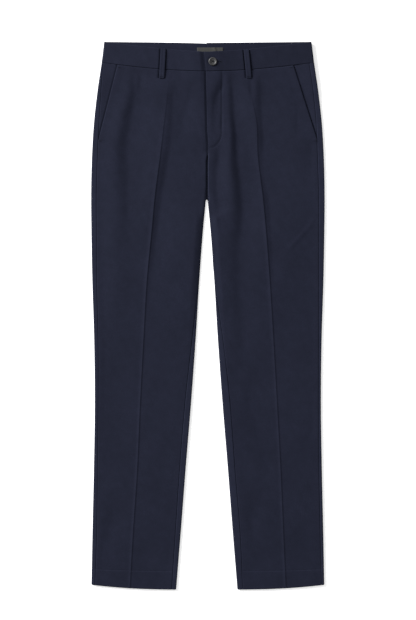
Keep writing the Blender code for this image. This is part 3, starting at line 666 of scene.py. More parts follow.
def base_level(side, x, y):
    """The fronts' outer surface without the lap of the fly, its seams and its hem."""
    from_side = front_edge_x(side, y) - np.abs(x)
    from_inner = np.abs(x - inner_x(side, y))
    upper = rise(*LOFT_START, y) * rise(*LOFT_END, y)
    soft = LOFT * upper - SAG * (1 - upper) * rise(*SAG_ROWS, y)
    slope = blend(LEG_SLOPE, CENTRE_SLOPE[side], rise(*CENTRE_SLOPE_ROWS, y))
    soft = soft * rise(0, slope, from_inner - rise(*CENTRE_FLAT_ROWS, y) * CENTRE_FLAT[side])
    soft = soft * rise(0, SIDE_SLOPE[side], from_side)
    folds = sum(fold_shape(rows, x, y) for rows in FOLDS.values()) + waviness(x, y)
    fade = blended_span(FADE_INNER, FADE_CENTRE, rise(*FADE_ROWS, y))
    folds = folds * rise(*fade, from_inner) * rise(*FADE_SIDE, from_side)
    lip = LIP * rise(*LIP_ROWS, y) * (1 - rise(*LIP_WIDTH, from_side))
    level = fold_top(y) + soft + folds + lip
    if side == RIGHT:
        level = level + right_swell(x, y)
    level = level + crease_shape(side, x, y)
    floor = lift(y) + 2 * WALL + FRONT_ROOM
    return floor + np.logaddexp(0, FRONT_ROOM_SHARPNESS * (level - floor)) / FRONT_ROOM_SHARPNESS


def fly_lift(side, x, y):
    """How far the left front stands above the right one's level, along the fly."""
    if side == RIGHT:
        return np.zeros_like(x)
    height = blend(FLY_LIFT, FLY_TOP_LIFT, rise(*FLY_LIFT_ROWS, y))
    fall = rise(*FLY_START, y) * lap_share(x, y)
    step = rise(*FLY_STEP_START, y) * rise(*FLY_STEP_WIDTH, stitch_inside(x, y))
    lapped = height * blend(fall, step, FLY_STEP_SHARE * (1 - rise(*FLY_STEP_ROWS, y)))
    return lapped - tab_slope(x, y) * rise(*AT_WAIST, y)


def tab_slope(x, y):
    return TAB_SLOPE * rise(*TAB_SLOPE_WIDTH, x - fly_edge_x(y))


def lap_share(x, y):
    """The left half's stand on the right one, as a share: it comes down over more cloth at the waist."""
    return 1 - rise(*blended_span(FLY_FALL, BAND_FALL, rise(*AT_WAIST, y)), x)


def right_swell(x, y):
    """How far the wearer's right half stands up beside the end of the left one."""
    return RIGHT_SWELL * rise(*SWELL_REACH, fly_edge_x(y) - x) * rise(*SWELL_ROWS, y)


def squashed(side, x, y, z):
    """The inner folds are pressed flatter over a part of each leg."""
    squash = SQUASH[side]
    stretch = rise(*squash.start, y) * rise(*squash.end, y)
    share = squash.share * stretch * rolled(np.abs(x - inner_x(side, y)), squash.reach)
    return lift(y) + (z - lift(y)) * (1 - share)


def hem_detail(nominal):
    """The turned-up hem: a little higher than the leg, with a dimple along its stitches."""
    from_line = nominal - HEM_Y - HEM_DEPTH
    return HEM_STEP * rise(*HEM_STEP_WIDTH, from_line) - HEM_DIMPLE * bell(from_line, HEM_DIMPLE_REACH)


def band_level(side, x):
    """The front waistband's outer surface: the left one lies on the right one's end."""
    lap = 0.0 if side == RIGHT else FLY_TOP_LIFT * lap_share(x, TOP_Y)
    return BACK_LIFT + BAND_HEIGHT + lap


# Places along the rows and across them

Stretch = namedtuple("Stretch", "end step")


def spaced(start, stretches):
    """Places from start through each stretch in turn, at that stretch's step."""
    places = [start]
    for stretch in stretches:
        count = max(1, round((stretch.end - places[-1]) / stretch.step))
        places += list(np.linspace(places[-1], stretch.end, count + 1)[1:])
    return np.array(places)


HEM_TURN = WALL + 0.03  # radius of the hem's fold, to the outer surface
HEM_LINE_Y = HEM_Y + HEM_DEPTH
LEG_STRETCHES = [
    Stretch(HEM_Y + 4, 1.0),
    Stretch(HEM_LINE_Y - 4, 4.5),
    Stretch(HEM_LINE_Y + 4, 0.7),
    Stretch(-60, 5.5),
    Stretch(FORK_Y - 6, 4.5),
    Stretch(FORK_Y + 6, 0.6),
    Stretch(FLY_END_Y - 8, 3.5),
    Stretch(FLY_END_Y + 50, 1.7),
    Stretch(LOOP_BOTTOM_Y - 7, 3.0),
    Stretch(LOOP_BOTTOM_Y - 1, 0.5),
    Stretch(SEAM_Y - 3, 2.0),
    Stretch(SEAM_Y - SEAM_GAP / 2, 0.5),
]
LEG_ROWS = spaced(HEM_Y + HEM_TURN, LEG_STRETCHES)

# Columns across a panel, as distances or as shares of a stretch
SEAM_STEPS = np.array([0.0, 0.25, 0.55, 0.9, 1.3, 1.8, 2.5])  # in from a seam or an edge
RIDGE_STEPS = np.array([0.35, 0.8, 1.4, 2.2, 3.2, 4.6, 6.5, 9])
CREASE_STEPS = np.concatenate([-RIDGE_STEPS[::-1], [0], RIDGE_STEPS])
FOLD_SHARES = np.linspace(0, 1, 8)
LAP_SHARES = np.concatenate([np.linspace(0, 0.42, 30), np.linspace(0.42, 1, 20)[1:]])[1:-1]
HIP_SHARES = np.concatenate([np.linspace(0, 0.12, 14), np.linspace(0.12, 1, 33)[1:]])[1:-1]
TURN_SHARES = np.linspace(0, 1, 17)[1:]  # a back's, from its seam round a fold to the surface
UNDER_SHARES = np.linspace(0, 1, 34)[1:-1]
LEAST_FOLD = 1.8  # the least width of a front's first columns
TURN_COLUMNS = len(SEAM_STEPS) + len(TURN_SHARES)
FRONT_COLUMNS = [len(part) for part in (FOLD_SHARES, LAP_SHARES, CREASE_STEPS, HIP_SHARES, SEAM_STEPS)]
BACK_COLUMNS = [TURN_COLUMNS, len(UNDER_SHARES), TURN_COLUMNS]


def split_columns(values, *sizes):
    return np.split(values, np.cumsum(sizes)[:-1], axis=1)


def settle(nominal, x_at, top_rise):
    """x and y of a panel's points. Its lowest rows follow the hem, and its highest the waist seam."""
    y = nominal
    for _ in range(4):
        x = x_at(y)
        y = nominal + hem_rise(x) * rise(*HEM_ROWS, nominal) + top_rise(x) * rise(*SEAM_ROWS, nominal)
    return x_at(y), y


def fold_reach(path, y):
    """Distance in from a fold's edge, for a path that starts where the fold leaves the lower side."""
    radius = fold_radius(y)
    turned = radius * (1 - np.sin(np.clip(path / radius, 0.0, math.pi)))
    return np.where(path < math.pi * radius, turned, radius + path - math.pi * radius)


def fold_path(reach, y):
    """The path that reaches this far in on the upper side: the inverse of fold_reach."""
    radius = fold_radius(y)
    turned = radius * (math.pi / 2 + np.arccos(1 - np.clip(reach / radius, 0.0, 1.0)))
    return np.where(reach < radius, turned, math.pi * radius + reach - radius)


def on_upper_side(path, y):
    return path > math.pi / 2 * fold_radius(y)


def inner_level(reach, path, y):
    """Height on the inner fold, which dies out above the fork."""
    distance = np.hypot(reach, np.maximum(0.0, y - FORK_Y))
    return fold_level(distance, y, on_upper_side(path, y))


def front_fold_path(side, y, share):
    """The front's first columns, from the inseam over the top of the inner fold."""
    start = fold_path(of_side("inseam", side, y), y) + SEAM_GAP / 2
    end = np.maximum(math.pi * fold_radius(y), start + LEAST_FOLD)
    return blend(start, end, share)


def front_x(side, y):
    """x of a front's points: the inner fold, the lap, over the crease, the hip, and the side's edge."""
    fold_y, lap_y, crease_y, hip_y, edge_y = split_columns(y, *FRONT_COLUMNS)
    under = FLY_LAP * rise(*LAP_ROWS, fold_y) if side == RIGHT else 0.0
    fold = front_inner_x(side, fold_y) + under
    fold = fold + side * fold_reach(front_fold_path(side, fold_y, FOLD_SHARES), fold_y)
    start = front_inner_x(side, lap_y) + side * fold_reach(front_fold_path(side, lap_y, 1.0), lap_y)
    near = side * (of_side("crease", side, lap_y) + CREASE_STEPS[0])
    crease = side * (of_side("crease", side, crease_y) + CREASE_STEPS)
    far = side * (of_side("crease", side, hip_y) + CREASE_STEPS[-1])
    end = side * (front_edge_x(side, hip_y) - SEAM_GAP / 2 - SEAM_STEPS[-1])
    edge = side * (front_edge_x(side, edge_y) - SEAM_GAP / 2 - SEAM_STEPS[::-1])
    lap = blend(start, near, LAP_SHARES)
    hip = blend(far, end, HIP_SHARES)
    return np.concatenate([fold, lap, crease, hip, edge], axis=1)


def front_grid(side):
    """A front's points, from the inseam and the fly to the side seam and the pocket mouth."""
    nominal = np.repeat(LEG_ROWS[:, None], sum(FRONT_COLUMNS), axis=1)
    x, y = settle(nominal, lambda y: front_x(side, y), seam_rise)
    folded = slice(len(FOLD_SHARES))
    fold_y = y[:, folded]
    path = front_fold_path(side, fold_y, FOLD_SHARES)
    z = base_level(side, x, y) + fly_lift(side, x, y)
    z[:, folded] += inner_level(fold_reach(path, fold_y), path, fold_y) - fold_top(fold_y)
    from_inseam = np.abs(x - x[:, :1]) + HIDDEN_INSEAM * (of_side("inseam", side, y) < fold_radius(y))
    from_inseam[:, folded] = path - path[:, :1]
    z -= inner_turn(side, from_inseam, x, y)
    z -= SEAM_DEPTH * rolled(np.abs(x[:, -1:] - x), SEAM_REACH) * (1 - MOUTH_SHALLOW * rise(*MOUTH_ROWS, y))
    z -= WAIST_SEAM_DEPTH * rolled(SEAM_Y - nominal, SEAM_REACH)
    z += hem_detail(nominal) - loop_sink(x, y)
    if side == LEFT:
        z -= STITCH_DITCH * bell(stitch_inside(x, y), STITCH_DITCH_REACH) * rise(*STITCH_DITCH_ROWS, y)
    z = squashed(side, x, y, z)
    if side == RIGHT:
        z = np.maximum(z, (guard_level(x, y) + WALL + LAP_ROOM) * rise(*LAP_LEVEL, x - fly_edge_x(y)))
    return np.stack([x, y, z], axis=-1)


def inner_turn(side, from_inseam, x, y):
    """How far a front is turned down at its inseam, at the centre seam, and beside the fly."""
    leg = rise(*INSEAM_ROWS, y) * INSEAM_DEPTH[side] * rolled(from_inseam, SEAM_REACH)
    reach = CENTRE_REACH[side] + FORK_REACH[side] * rise(*FORK_REACH_ROWS, y)
    centre = rise(*CENTRE_START, y) * rise(*CENTRE_END, y) * CENTRE_DEPTH
    centre = centre * rolled(np.abs(x - front_inner_x(side, y)), reach)
    if side == LEFT:
        fly = FLY_EDGE_TURN * rolled(x - fly_edge_x(y), FLY_EDGE_REACH)
    else:
        away = fly_edge_x(y) - x
        dip = FLY_DIP + FLY_LOW_DIP * rise(*FLY_LOW_ROWS, y)
        soft = FLY_SOFT_DIP + FLY_TOP_DIP * rise(*FLY_TOP_ROWS, y)
        fly = dip * (1 - rise(0, FLY_DIP_REACH, away)) + soft * (1 - rise(0, FLY_SOFT_REACH, away))
    return leg + centre + rise(*FLY_TURN_ROWS, y) * fly


def turn_path(seam):
    """From a seam on the upper side, round a fold and down to the surface."""
    near, rest = split_columns(seam, len(SEAM_STEPS), len(TURN_SHARES))
    return np.concatenate([near - SEAM_STEPS, (rest - SEAM_STEPS[-1]) * (1 - TURN_SHARES)], axis=1)


def back_paths(side, y):
    """The paths of a back's columns round its two folds."""
    outer_y, _, inner_y = split_columns(y, *BACK_COLUMNS)
    outer_seam = fold_path(of_side("side", side, outer_y), outer_y) - SEAM_GAP / 2
    inner_seam = fold_path(of_side("inseam", side, inner_y), inner_y) - SEAM_GAP / 2
    inner = turn_path(inner_seam[:, ::-1])[:, ::-1]
    return (turn_path(outer_seam), outer_seam), (inner, inner_seam)


def back_x(side, y):
    outer_y, under_y, inner_y = split_columns(y, *BACK_COLUMNS)
    (outer_path, _), (inner_path, _) = back_paths(side, y)
    outer = side * (outer_x(outer_y) - fold_reach(outer_path, outer_y))
    start = outer_x(under_y) - fold_radius(under_y)
    end = side * back_inner_x(side, under_y) + fold_radius(under_y)
    under = side * blend(start, end, UNDER_SHARES)
    inner = back_inner_x(side, inner_y) + side * fold_reach(inner_path, inner_y)
    return np.concatenate([outer, under, inner], axis=1)


def back_grid(side):
    """A back's points: from the side seam round the outer fold, along the surface, round the inner fold."""
    nominal = np.repeat(LEG_ROWS[:, None], sum(BACK_COLUMNS), axis=1)
    strip = len(SEAM_STEPS)

    def top_rise(x):
        return np.where(np.arange(x.shape[1]) < strip, seam_rise(x), SEAM_RISE)

    x, y = settle(nominal, lambda y: back_x(side, y), top_rise)
    outer_y, under_y, inner_y = split_columns(y, *BACK_COLUMNS)
    (outer_path, outer_seam), (inner_path, inner_seam) = back_paths(side, y)
    reach = fold_reach(outer_path, outer_y)
    outer = fold_level(reach, outer_y, on_upper_side(outer_path, outer_y))
    outer -= SEAM_DEPTH * rolled(outer_seam - outer_path, SEAM_REACH)
    inner = inner_level(fold_reach(inner_path, inner_y), inner_path, inner_y)
    inner_roll = SEAM_DEPTH * rolled(inner_seam - inner_path, SEAM_REACH)
    inner += inner_roll * (rise(*BACK_SEAM_ROWS, inner_y) - rise(*INSEAM_ROWS, inner_y))
    under_x = split_columns(x, *BACK_COLUMNS)[1]
    under = lift(under_y) + underside(side, under_x, under_y)
    z = np.concatenate([outer, under, inner], axis=1)
    on_top = np.arange(x.shape[1]) < strip
    z += hem_detail(nominal) * on_top
    z -= SEAM_DEPTH * rolled(SEAM_Y - nominal, SEAM_REACH) * on_top
    return np.stack([x, y, squashed(side, x, y, z)], axis=-1)


def underside(side, x, y):
    """The back lies on the surface along its pressed crease, and a hair above it elsewhere."""
    from_folds = np.minimum(outer_x(y) - np.abs(x), np.abs(x - inner_x(side, y))) - fold_radius(y)
    from_crease = np.abs(np.abs(x) - of_side("crease", side, y))
    wave = 1 + np.sin(x / EASE_WAVES[0] + y / EASE_WAVES[1])
    return BACK_EASE * rise(*EASE_FROM_FOLD, from_folds) * rise(*EASE_FROM_CREASE, from_crease) * wave


# Waistband, loops and the pieces under the front

FACING_COLUMNS = [12, 22, len(SEAM_STEPS)]
FACING_ROW_STEP = 2.0
STRIP_ROW_STEP = 3.0
STRIP_COLUMNS = 14
LABEL_ROW_STEP = 0.25
LABEL_COLUMNS = 90
BACK_LOOP_ROWS = 50
BAND_RADIUS = BAND_HEIGHT / 2
BAND_STRETCHES = [Stretch(0.04, 0.006), Stretch(0.16, 0.0014), Stretch(0.33, 0.0065), Stretch(0.53, 0.0035)]
BAND_FRONT_SHARES = spaced(0.0, [*BAND_STRETCHES, Stretch(1.0, 0.0065)])[1:]
BAND_TURNS = np.linspace(0, 1, 12)[1:]
BAND_BACK_SHARES = np.linspace(0, 1, 50)[1:]
BAND_COLUMNS = [len(part) for part in (SEAM_STEPS, BAND_FRONT_SHARES, BAND_TURNS, BAND_BACK_SHARES)]
BAND_MIDDLE = spaced(0.1, [Stretch(0.43, 0.08), Stretch(0.59, 0.0075), Stretch(0.9, 0.08)])
BAND_ROW_STEPS = np.concatenate([SEAM_STEPS, 0 * BAND_MIDDLE, -SEAM_STEPS[::-1]])[:, None]
BAND_ROW_SHARES = np.concatenate([0 * SEAM_STEPS, BAND_MIDDLE, 0 * SEAM_STEPS + 1])


def band_place(side, y):
    """x and z of half the waistband's points, the rows' lower and upper ends, and the turn round its fold."""
    end_y, front_y, turn_y, back_y = split_columns(y, *BAND_COLUMNS)

    def start(y):
        return fly_edge_x(y) if side == LEFT else BAND_UNDERLAP + 0 * y

    def fold(y):
        return side * (outer_x(y) - BAND_RADIUS)

    parts = [
        start(end_y) + side * SEAM_STEPS,
        blend(start(front_y) + side * SEAM_STEPS[-1], fold(front_y), BAND_FRONT_SHARES),
        fold(turn_y) + side * BAND_RADIUS * np.sin(math.pi * BAND_TURNS),
        blend(fold(back_y), CENTRE_X + side * SEAM_GAP / 2, BAND_BACK_SHARES),
    ]
    x = np.concatenate(parts, axis=1)
    ahead = len(SEAM_STEPS) + len(BAND_FRONT_SHARES)
    turn = np.concatenate([np.zeros(ahead), BAND_TURNS, np.ones(len(BAND_BACK_SHARES))])
    bottom = np.where(turn < 0.5, SEAM_Y + seam_rise(x), SIDE_SEAM_Y)
    top = np.where(turn == 0, front_top_y(x), np.where(turn < 1, TOP_Y, back_top_y(x)))
    level = BACK_LIFT + BAND_RADIUS * (1 + np.cos(math.pi * turn))
    z = level + (band_level(side, x) - BACK_LIFT - BAND_HEIGHT) * (turn == 0)
    return x, z, bottom, top, turn


def band_dip(side, x, y):
    """The right half sinks towards the left half's end, which lies on it."""
    if side == LEFT:
        return BAND_END_TURN * rolled(x - fly_edge_x(y), BAND_END_REACH) + tab_slope(x, y)
    dip = BAND_DIP * (1 - rise(0, BAND_DIP_REACH, fly_edge_x(y) - x))
    return dip + UNDERLAP_DIP * rise(*UNDERLAP_DIP_X, x) - right_swell(x, y)


def band_grid(side):
    y = np.full((len(BAND_ROW_SHARES), sum(BAND_COLUMNS)), (SIDE_SEAM_Y + TOP_Y) / 2)
    for _ in range(4):
        x, z, bottom, top, turn = band_place(side, y)
        bottom = bottom + SEAM_GAP / 2
        y = blend(bottom, top, BAND_ROW_SHARES[:, None]) + BAND_ROW_STEPS
    x, z, bottom, top, turn = band_place(side, y)
    roll = WAIST_SEAM_DEPTH * rolled(y - bottom, SEAM_REACH)
    roll = roll + BAND_EDGE_DEPTH * rolled(top - y, BAND_EDGE_REACH)
    give = waviness(x, y) - band_dip(side, x, y) - loop_sink(x, y) - button_sink(x, y) * (side == LEFT)
    z = z - roll * np.cos(math.pi * turn) + give * (turn == 0)
    x = x - side * roll * np.sin(math.pi * turn)
    return np.stack([x, y, z], axis=-1)


def keyhole_distance(x, y):
    """Distance from the buttonhole and from the room for the button's thread, negative inside them."""
    half = (EYELET_X - HOLE_START_X) / 2
    slit = np.maximum(np.abs(x - HOLE_START_X - half) - half, np.abs(y - BUTTON_Y) - SLIT_WIDTH / 2)
    eyelet = np.hypot(x - EYELET_X, y - BUTTON_Y) - EYELET_RADIUS
    room = np.hypot(x - BUTTON_X, y - BUTTON_Y) - THREAD_ROOM
    return np.minimum(np.minimum(slit, eyelet), room)


def with_keyhole(points):
    """The left waistband's points drawn onto the keyhole's outline, and which of its quads are kept."""
    front = len(SEAM_STEPS) + len(BAND_FRONT_SHARES)
    x, y = points[:, :front, 0], points[:, :front, 1]
    away = keyhole_distance(x, y)
    way_x = (keyhole_distance(x + KEYHOLE_STEP, y) - away) / KEYHOLE_STEP
    way_y = (keyhole_distance(x, y + KEYHOLE_STEP) - away) / KEYHOLE_STEP
    near = away * (np.abs(away) < KEYHOLE_SNAP)
    points = points.copy()
    points[:, :front, 0] -= near * way_x
    points[:, :front, 1] -= near * way_y
    middles = (points[:-1, :-1] + points[1:, :-1] + points[:-1, 1:] + points[1:, 1:]) / 4
    kept = keyhole_distance(middles[..., 0], middles[..., 1]) > 0
    kept[:, front:] = True
    return points, kept


def front_loop_level(side, x, y):
    """The surface that a front loop lies on: the front below the waist seam, the waistband above it."""
    seam = SEAM_Y + seam_rise(x)
    low = base_level(side, x, np.minimum(y, seam)) + fly_lift(side, x, np.minimum(y, seam))
    return blend(low, band_level(side, x), rise(*LOOP_SEAM_STEP, y - seam))


LOOP_STRETCHES = [np.linspace(0, 0.1, 12), np.linspace(0.1, 0.93, 40)[1:], np.linspace(0.93, 1, 9)[1:]]
LOOP_ROW_SHARES = np.concatenate(LOOP_STRETCHES)[:, None]
LOOP_COLUMNS = np.linspace(-1, 1, 23)


def loop_outline(from_end):
    """Half a loop's width, rounded at its corners."""
    inside = LOOP_CORNER - np.clip(LOOP_CORNER - from_end, 0.0, LOOP_CORNER)
    return LOOP_WIDTH / 2 - LOOP_CORNER + np.sqrt(LOOP_CORNER**2 - (LOOP_CORNER - inside) ** 2)


def loop_profile(across):
    """A loop's section: edges turned down, and a faint ditch along the middle where its folds meet."""
    from_edge = (1 - np.abs(across)) * LOOP_WIDTH / 2
    middle = bell(across * LOOP_WIDTH / 2, LOOP_DITCH_REACH)
    return -LOOP_EDGE_TURN * rolled(from_edge, LOOP_EDGE_REACH) - LOOP_DITCH * middle


def front_loop_grid(loop):
    side = LEFT if loop.top_x > 0 else RIGHT
    y = blend(LOOP_BOTTOM_Y, front_top_y(loop.top_x), LOOP_ROW_SHARES)
    x = blend(loop.bottom_x, loop.top_x, LOOP_ROW_SHARES) + loop_outline(y - LOOP_BOTTOM_Y) * LOOP_COLUMNS
    y = y + 0 * x
    arch = LOOP_ARCH * np.sin(math.pi * np.clip(LOOP_ROW_SHARES, 0.0, 1.0)) ** LOOP_ARCH_POWER
    z = front_loop_level(side, x, y) + LOOP_WALL + LOOP_REST + arch + loop_profile(LOOP_COLUMNS)
    z -= LOOP_SEWN * bell(y - LOOP_BOTTOM_Y - LOOP_TACK, LOOP_SEWN_REACH)
    z -= LOOP_END_TURN * rolled(y - LOOP_BOTTOM_Y, LOOP_END_REACH)
    return np.stack([x, y, z], axis=-1)


def back_loop_grid(low, high):
    """A back loop lies under the waistband, with its outer side on the surface."""
    y = blend(low[1], high[1], np.linspace(0, 1, BACK_LOOP_ROWS)[:, None])
    half = loop_outline(np.minimum(y - low[1], high[1] - y))
    x = (low[0] + high[0]) / 2 - half * LOOP_COLUMNS
    z = low[2] - loop_profile(LOOP_COLUMNS) * BACK_LOOP_SHARE + 0 * x
    return np.stack([x, y + 0 * x, z], axis=-1)


def facing_edges(side, y):
    """The side seam's and the pocket mouth's distances from the middle."""
    seam = side_seam_x(side, y) - SEAM_GAP / 2
    return seam, np.minimum(pocket_x(side, y), seam - FACING_LEAST_WIDTH)


def facing_x(side, y):
    """x of a facing's points: what is tucked under the front, the open part, and the strip at the seam."""
    tuck_y, open_y, edge_y = split_columns(y, *FACING_COLUMNS)
    tuck = facing_edges(side, tuck_y)[1] - POCKET_TUCK * (1 - np.linspace(0, 1, FACING_COLUMNS[0]))
    seam, start = facing_edges(side, open_y)
    end = np.maximum(seam - SEAM_STEPS[-1], start)
    opened = blend(start, end, np.linspace(0, 1, FACING_COLUMNS[1] + 1)[1:])
    seam, mouth = facing_edges(side, edge_y)
    width = np.minimum(SEAM_STEPS[-1], seam - mouth)
    edge = seam - width * (SEAM_STEPS[::-1] / SEAM_STEPS[-1]) * FACING_EDGE_SHARE
    return side * np.concatenate([tuck, opened, edge], axis=1)


def facing_grid(side):
    """A pocket facing, from under the front, past the mouth, to the side seam."""
    nominal = spaced(POCKET_END_Y + FACING_ROW_STEP, [Stretch(SEAM_Y - SEAM_GAP / 2, FACING_ROW_STEP)])
    nominal = np.repeat(nominal[:, None], sum(FACING_COLUMNS), axis=1)
    x, y = settle(nominal, lambda y: facing_x(side, y), seam_rise)
    seam, mouth = facing_edges(side, y)
    from_seam = seam - np.abs(x)
    width = np.maximum(seam - mouth, 1.0)
    full = np.minimum(width / FACING_FULL_WIDTH, 1.0)
    drop = FACING_DROP[side] * (1 - full * (1 - ramp(from_seam / width)))
    ditch = FACING_SEAM_DEPTH * rolled(from_seam, SEAM_REACH) * np.minimum(width / FACING_DITCH_WIDTH, 1)
    sink = FACING_SINK + WAIST_SEAM_DEPTH * rolled(SEAM_Y - nominal, SEAM_REACH)
    z = fold_top(y) - drop - ditch - sink * rise(*FACING_SINK_WIDTH, np.abs(x) - mouth)
    return np.stack([x, y, z], axis=-1)


def tape_level(x, y):
    """The zip tape's outer surface, with room over it for the teeth and the slider."""
    ceiling = base_level(LEFT, np.maximum(x, 1.0), y) + fly_lift(LEFT, x, y) - WALL
    return np.clip(ceiling - ZIP_ROOM, lift(y) + TAPE_LEVELS[0], lift(y) + TAPE_LEVELS[1])


def guard_level(x, y):
    """The fly guard's outer surface, under the tape and under the right front's edge."""
    return np.clip(tape_level(x, y) - GUARD_ROOM, lift(y) + GUARD_LEVELS[0], lift(y) + GUARD_LEVELS[1])


def strip_grid(node, place, level):
    """A strip beside the fly's edge, as long as a node, at a level that is a function of x and y."""
    low, high = node_box(node)
    y = spaced(low[1], [Stretch(high[1], STRIP_ROW_STEP)])[:, None]
    x = fly_edge_x(y) + place.start + place.length * np.linspace(0, 1, STRIP_COLUMNS)
    y = y + 0 * x
    return np.stack([x, y, level(x, y)], axis=-1)


def label_grid():
    """The label: ribs across it, edges turned down, and a soft ridge, steeper on the wearer's left."""
    x = np.linspace(LABEL_LOW[0], LABEL_HIGH[0], LABEL_COLUMNS)[None, :]
    y = spaced(LABEL_LOW[1], [Stretch(LABEL_HIGH[1], LABEL_ROW_STEP)])[:, None]
    ribs = LABEL_RIB * np.abs(np.sin(math.pi * y))
    edge = np.minimum(x - LABEL_LOW[0], LABEL_HIGH[0] - x)
    end = np.minimum(y - LABEL_LOW[1], LABEL_HIGH[1] - y)
    z = LABEL_HIGH[2] - LABEL_SINK + ribs * rise(*LABEL_RIB_START, edge)
    z = z - LABEL_EDGE_TURN * (rolled(edge, LABEL_EDGE_REACH) + rolled(end, LABEL_EDGE_REACH))
    across = x - LABEL_BEND_X - LABEL_BEND_LEAN * (LABEL_HIGH[1] - y)
    z = z + LABEL_BEND * bell(across, np.where(across < 0, *LABEL_BEND_REACHES)) * rise(*LABEL_BEND_ROWS, y)
    return np.stack([x + 0 * z, y + 0 * z, z], axis=-1)


# Making the objects


def grid_quads(rows, columns):
    """The quads of a grid of points, rows by columns, as indices of its points."""
    first = (np.arange(rows - 1)[:, None] * columns + np.arange(columns - 1)).reshape(-1)
    return np.stack([first, first + 1, first + columns + 1, first + columns], axis=1)


def grid_mesh(name, points, turned, kept=None):
    """A mesh of quads over a grid of points, or over those of its quads that are kept."""
    corners = grid_quads(*points.shape[:2])
    if kept is not None:
        corners = corners[kept.reshape(-1)]
    if turned:
        corners = corners[:, ::-1]
    used, corners = np.unique(corners, return_inverse=True)
    mesh = bpy.data.meshes.new(name)
    mesh.from_pydata(to_metres(points.reshape(-1, 3)[used]).tolist(), [], corners.reshape(-1, 4).tolist())
    mesh.shade_smooth()
    return mesh


def mesh_of(shape, name):
    """A mesh from a bmesh, which is freed."""
    mesh = bpy.data.meshes.new(name)
    shape.to_mesh(mesh)
    shape.free()
    return mesh


def put(mesh, name, finish):
    made = bpy.data.objects.new(name, mesh)
    mesh.materials.append(finish)
    bpy.context.scene.collection.objects.link(made)
    return made


def soften(made, width):
    """Gives a piece rounded edges."""
    soft = made.modifiers.new("soft edges", "BEVEL")
    soft.width = width * MM
    soft.segments = 2
    return soft


def walled(made, wall, edge_round):
    """Gives a sheet its wall and soft edges."""
    solid = made.modifiers.new("wall", "SOLIDIFY")
    solid.thickness = wall * MM
    solid.offset = -1.0
    soft = soften(made, edge_round)
    soft.limit_method = "ANGLE"
    soft.angle_limit = math.radians(EDGE_ANGLE)


def surface_normals(points):
    """Unit normals of a grid, the way that columns cross rows."""
    normals = np.cross(np.gradient(points, axis=1), np.gradient(points, axis=0))
    return normals / np.maximum(np.linalg.norm(normals, axis=-1, keepdims=True), 1e-9)


def with_hem(points, side):
    """Adds the hem's turned-up inside to a panel: a tight fold at the hem, and a strip up inside the leg."""
    normals = surface_normals(points) * side
    strips = []
    for up in HEM_STRIP_ROWS:
        row = int(np.searchsorted(LEG_ROWS, HEM_Y + up))
        strips.append(points[row] - 2 * HEM_TURN * normals[row])
    down = points[0] - points[1]
    down /= np.linalg.norm(down, axis=-1, keepdims=True)
    for turn in np.linspace(math.pi, 0, HEM_TURNS)[:-1]:
        bend = down * math.sin(turn) - normals[0] * (1 - math.cos(turn))
        strips.append(points[0] + HEM_TURN * bend)
    return np.concatenate([np.stack(strips), points])


def cut_of(points):
    """What a sheet was cut to, flat: its longest row and column, and its area, in metres."""
    row_lengths = np.linalg.norm(np.diff(points, axis=1), axis=-1).sum(axis=1)
    column_lengths = np.linalg.norm(np.diff(points, axis=0), axis=-1).sum(axis=0)
    across = points[:-1, 1:] - points[1:, :-1]
    along = points[1:, 1:] - points[:-1, :-1]
    area = np.linalg.norm(np.cross(across, along), axis=-1).sum() / 2
    return float(row_lengths.max() * MM), float(column_lengths.max() * MM), float(area * MM * MM)


def own(made, node):
    """The piece rides the root and stands for a CAD node, which is hidden."""
    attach(made, "root")
    if node:
        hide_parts(node)
    return made


def cloth(
    name, points, finish, node, wall=WALL, side=LEFT, slot_name="suiting", edge_round=EDGE_ROUND, kept=None
):
    """A sheet of cloth over a grid, in place of a CAD node. Returns, by its name, the piece and the grid."""
    made = put(grid_mesh(name, points, side == RIGHT, kept), name, finish)
    walled(made, wall, edge_round)
    return {name: (own(made, node), points)}


def declare(points, rests_on):
    """Works out a sheet's flat size: its width, its length, and its area, which is no more than their product.
    rests_on is not used.
    """
    width, length, area = cut_of(points)
    area = min(area, width * length)


# Stitches

STITCH_SIDES = 6
STITCH_STATIONS = np.array([0.0, 0.12, 0.35, 0.65, 0.88, 1.0])  # along each stitch
STITCH_SINK = 0.3  # a stitch lies this deep in the cloth, as a share of its radius
STITCH_DIVE = 0.8  # and its ends dive further
STITCH_TIP = 0.02
SKY = 60.0  # above everything
WAY_STEP = 0.1  # a line's direction is measured over this much to both sides


class Ground:
    """The height of the sheets below a place, for what is sewn onto them."""

    def __init__(self, grids):
        verts, faces = [], []
        for points in grids:
            faces += (grid_quads(*points.shape[:2]) + len(verts)).tolist()
            verts += points.reshape(-1, 3).tolist()
        self.tree = BVHTree.FromPolygons(verts, faces)

    def height(self, x, y):
        hit = self.tree.ray_cast(Vector((x, y, SKY)), Vector((0, 0, -1)))[0]
        return hit.z if hit else 0.0


def turned_left(ways):
    return np.stack([-ways[..., 1], ways[..., 0]], axis=-1)


def walk(points, pitch):
    """Places at an equal pitch along a polyline, each with its direction."""
    points = np.asarray(points, float)
    steps = np.linalg.norm(np.diff(points, axis=0), axis=1)
    reached = np.concatenate([[0.0], np.cumsum(steps)])
    at = np.arange(pitch / 2, reached[-1], pitch)

    def shifted(shift):
        return np.stack([np.interp(at + shift, reached, points[:, i]) for i in (0, 1)], axis=1)

    ways = shifted(WAY_STEP) - shifted(-WAY_STEP)
    return shifted(0), ways / np.linalg.norm(ways, axis=1, keepdims=True)


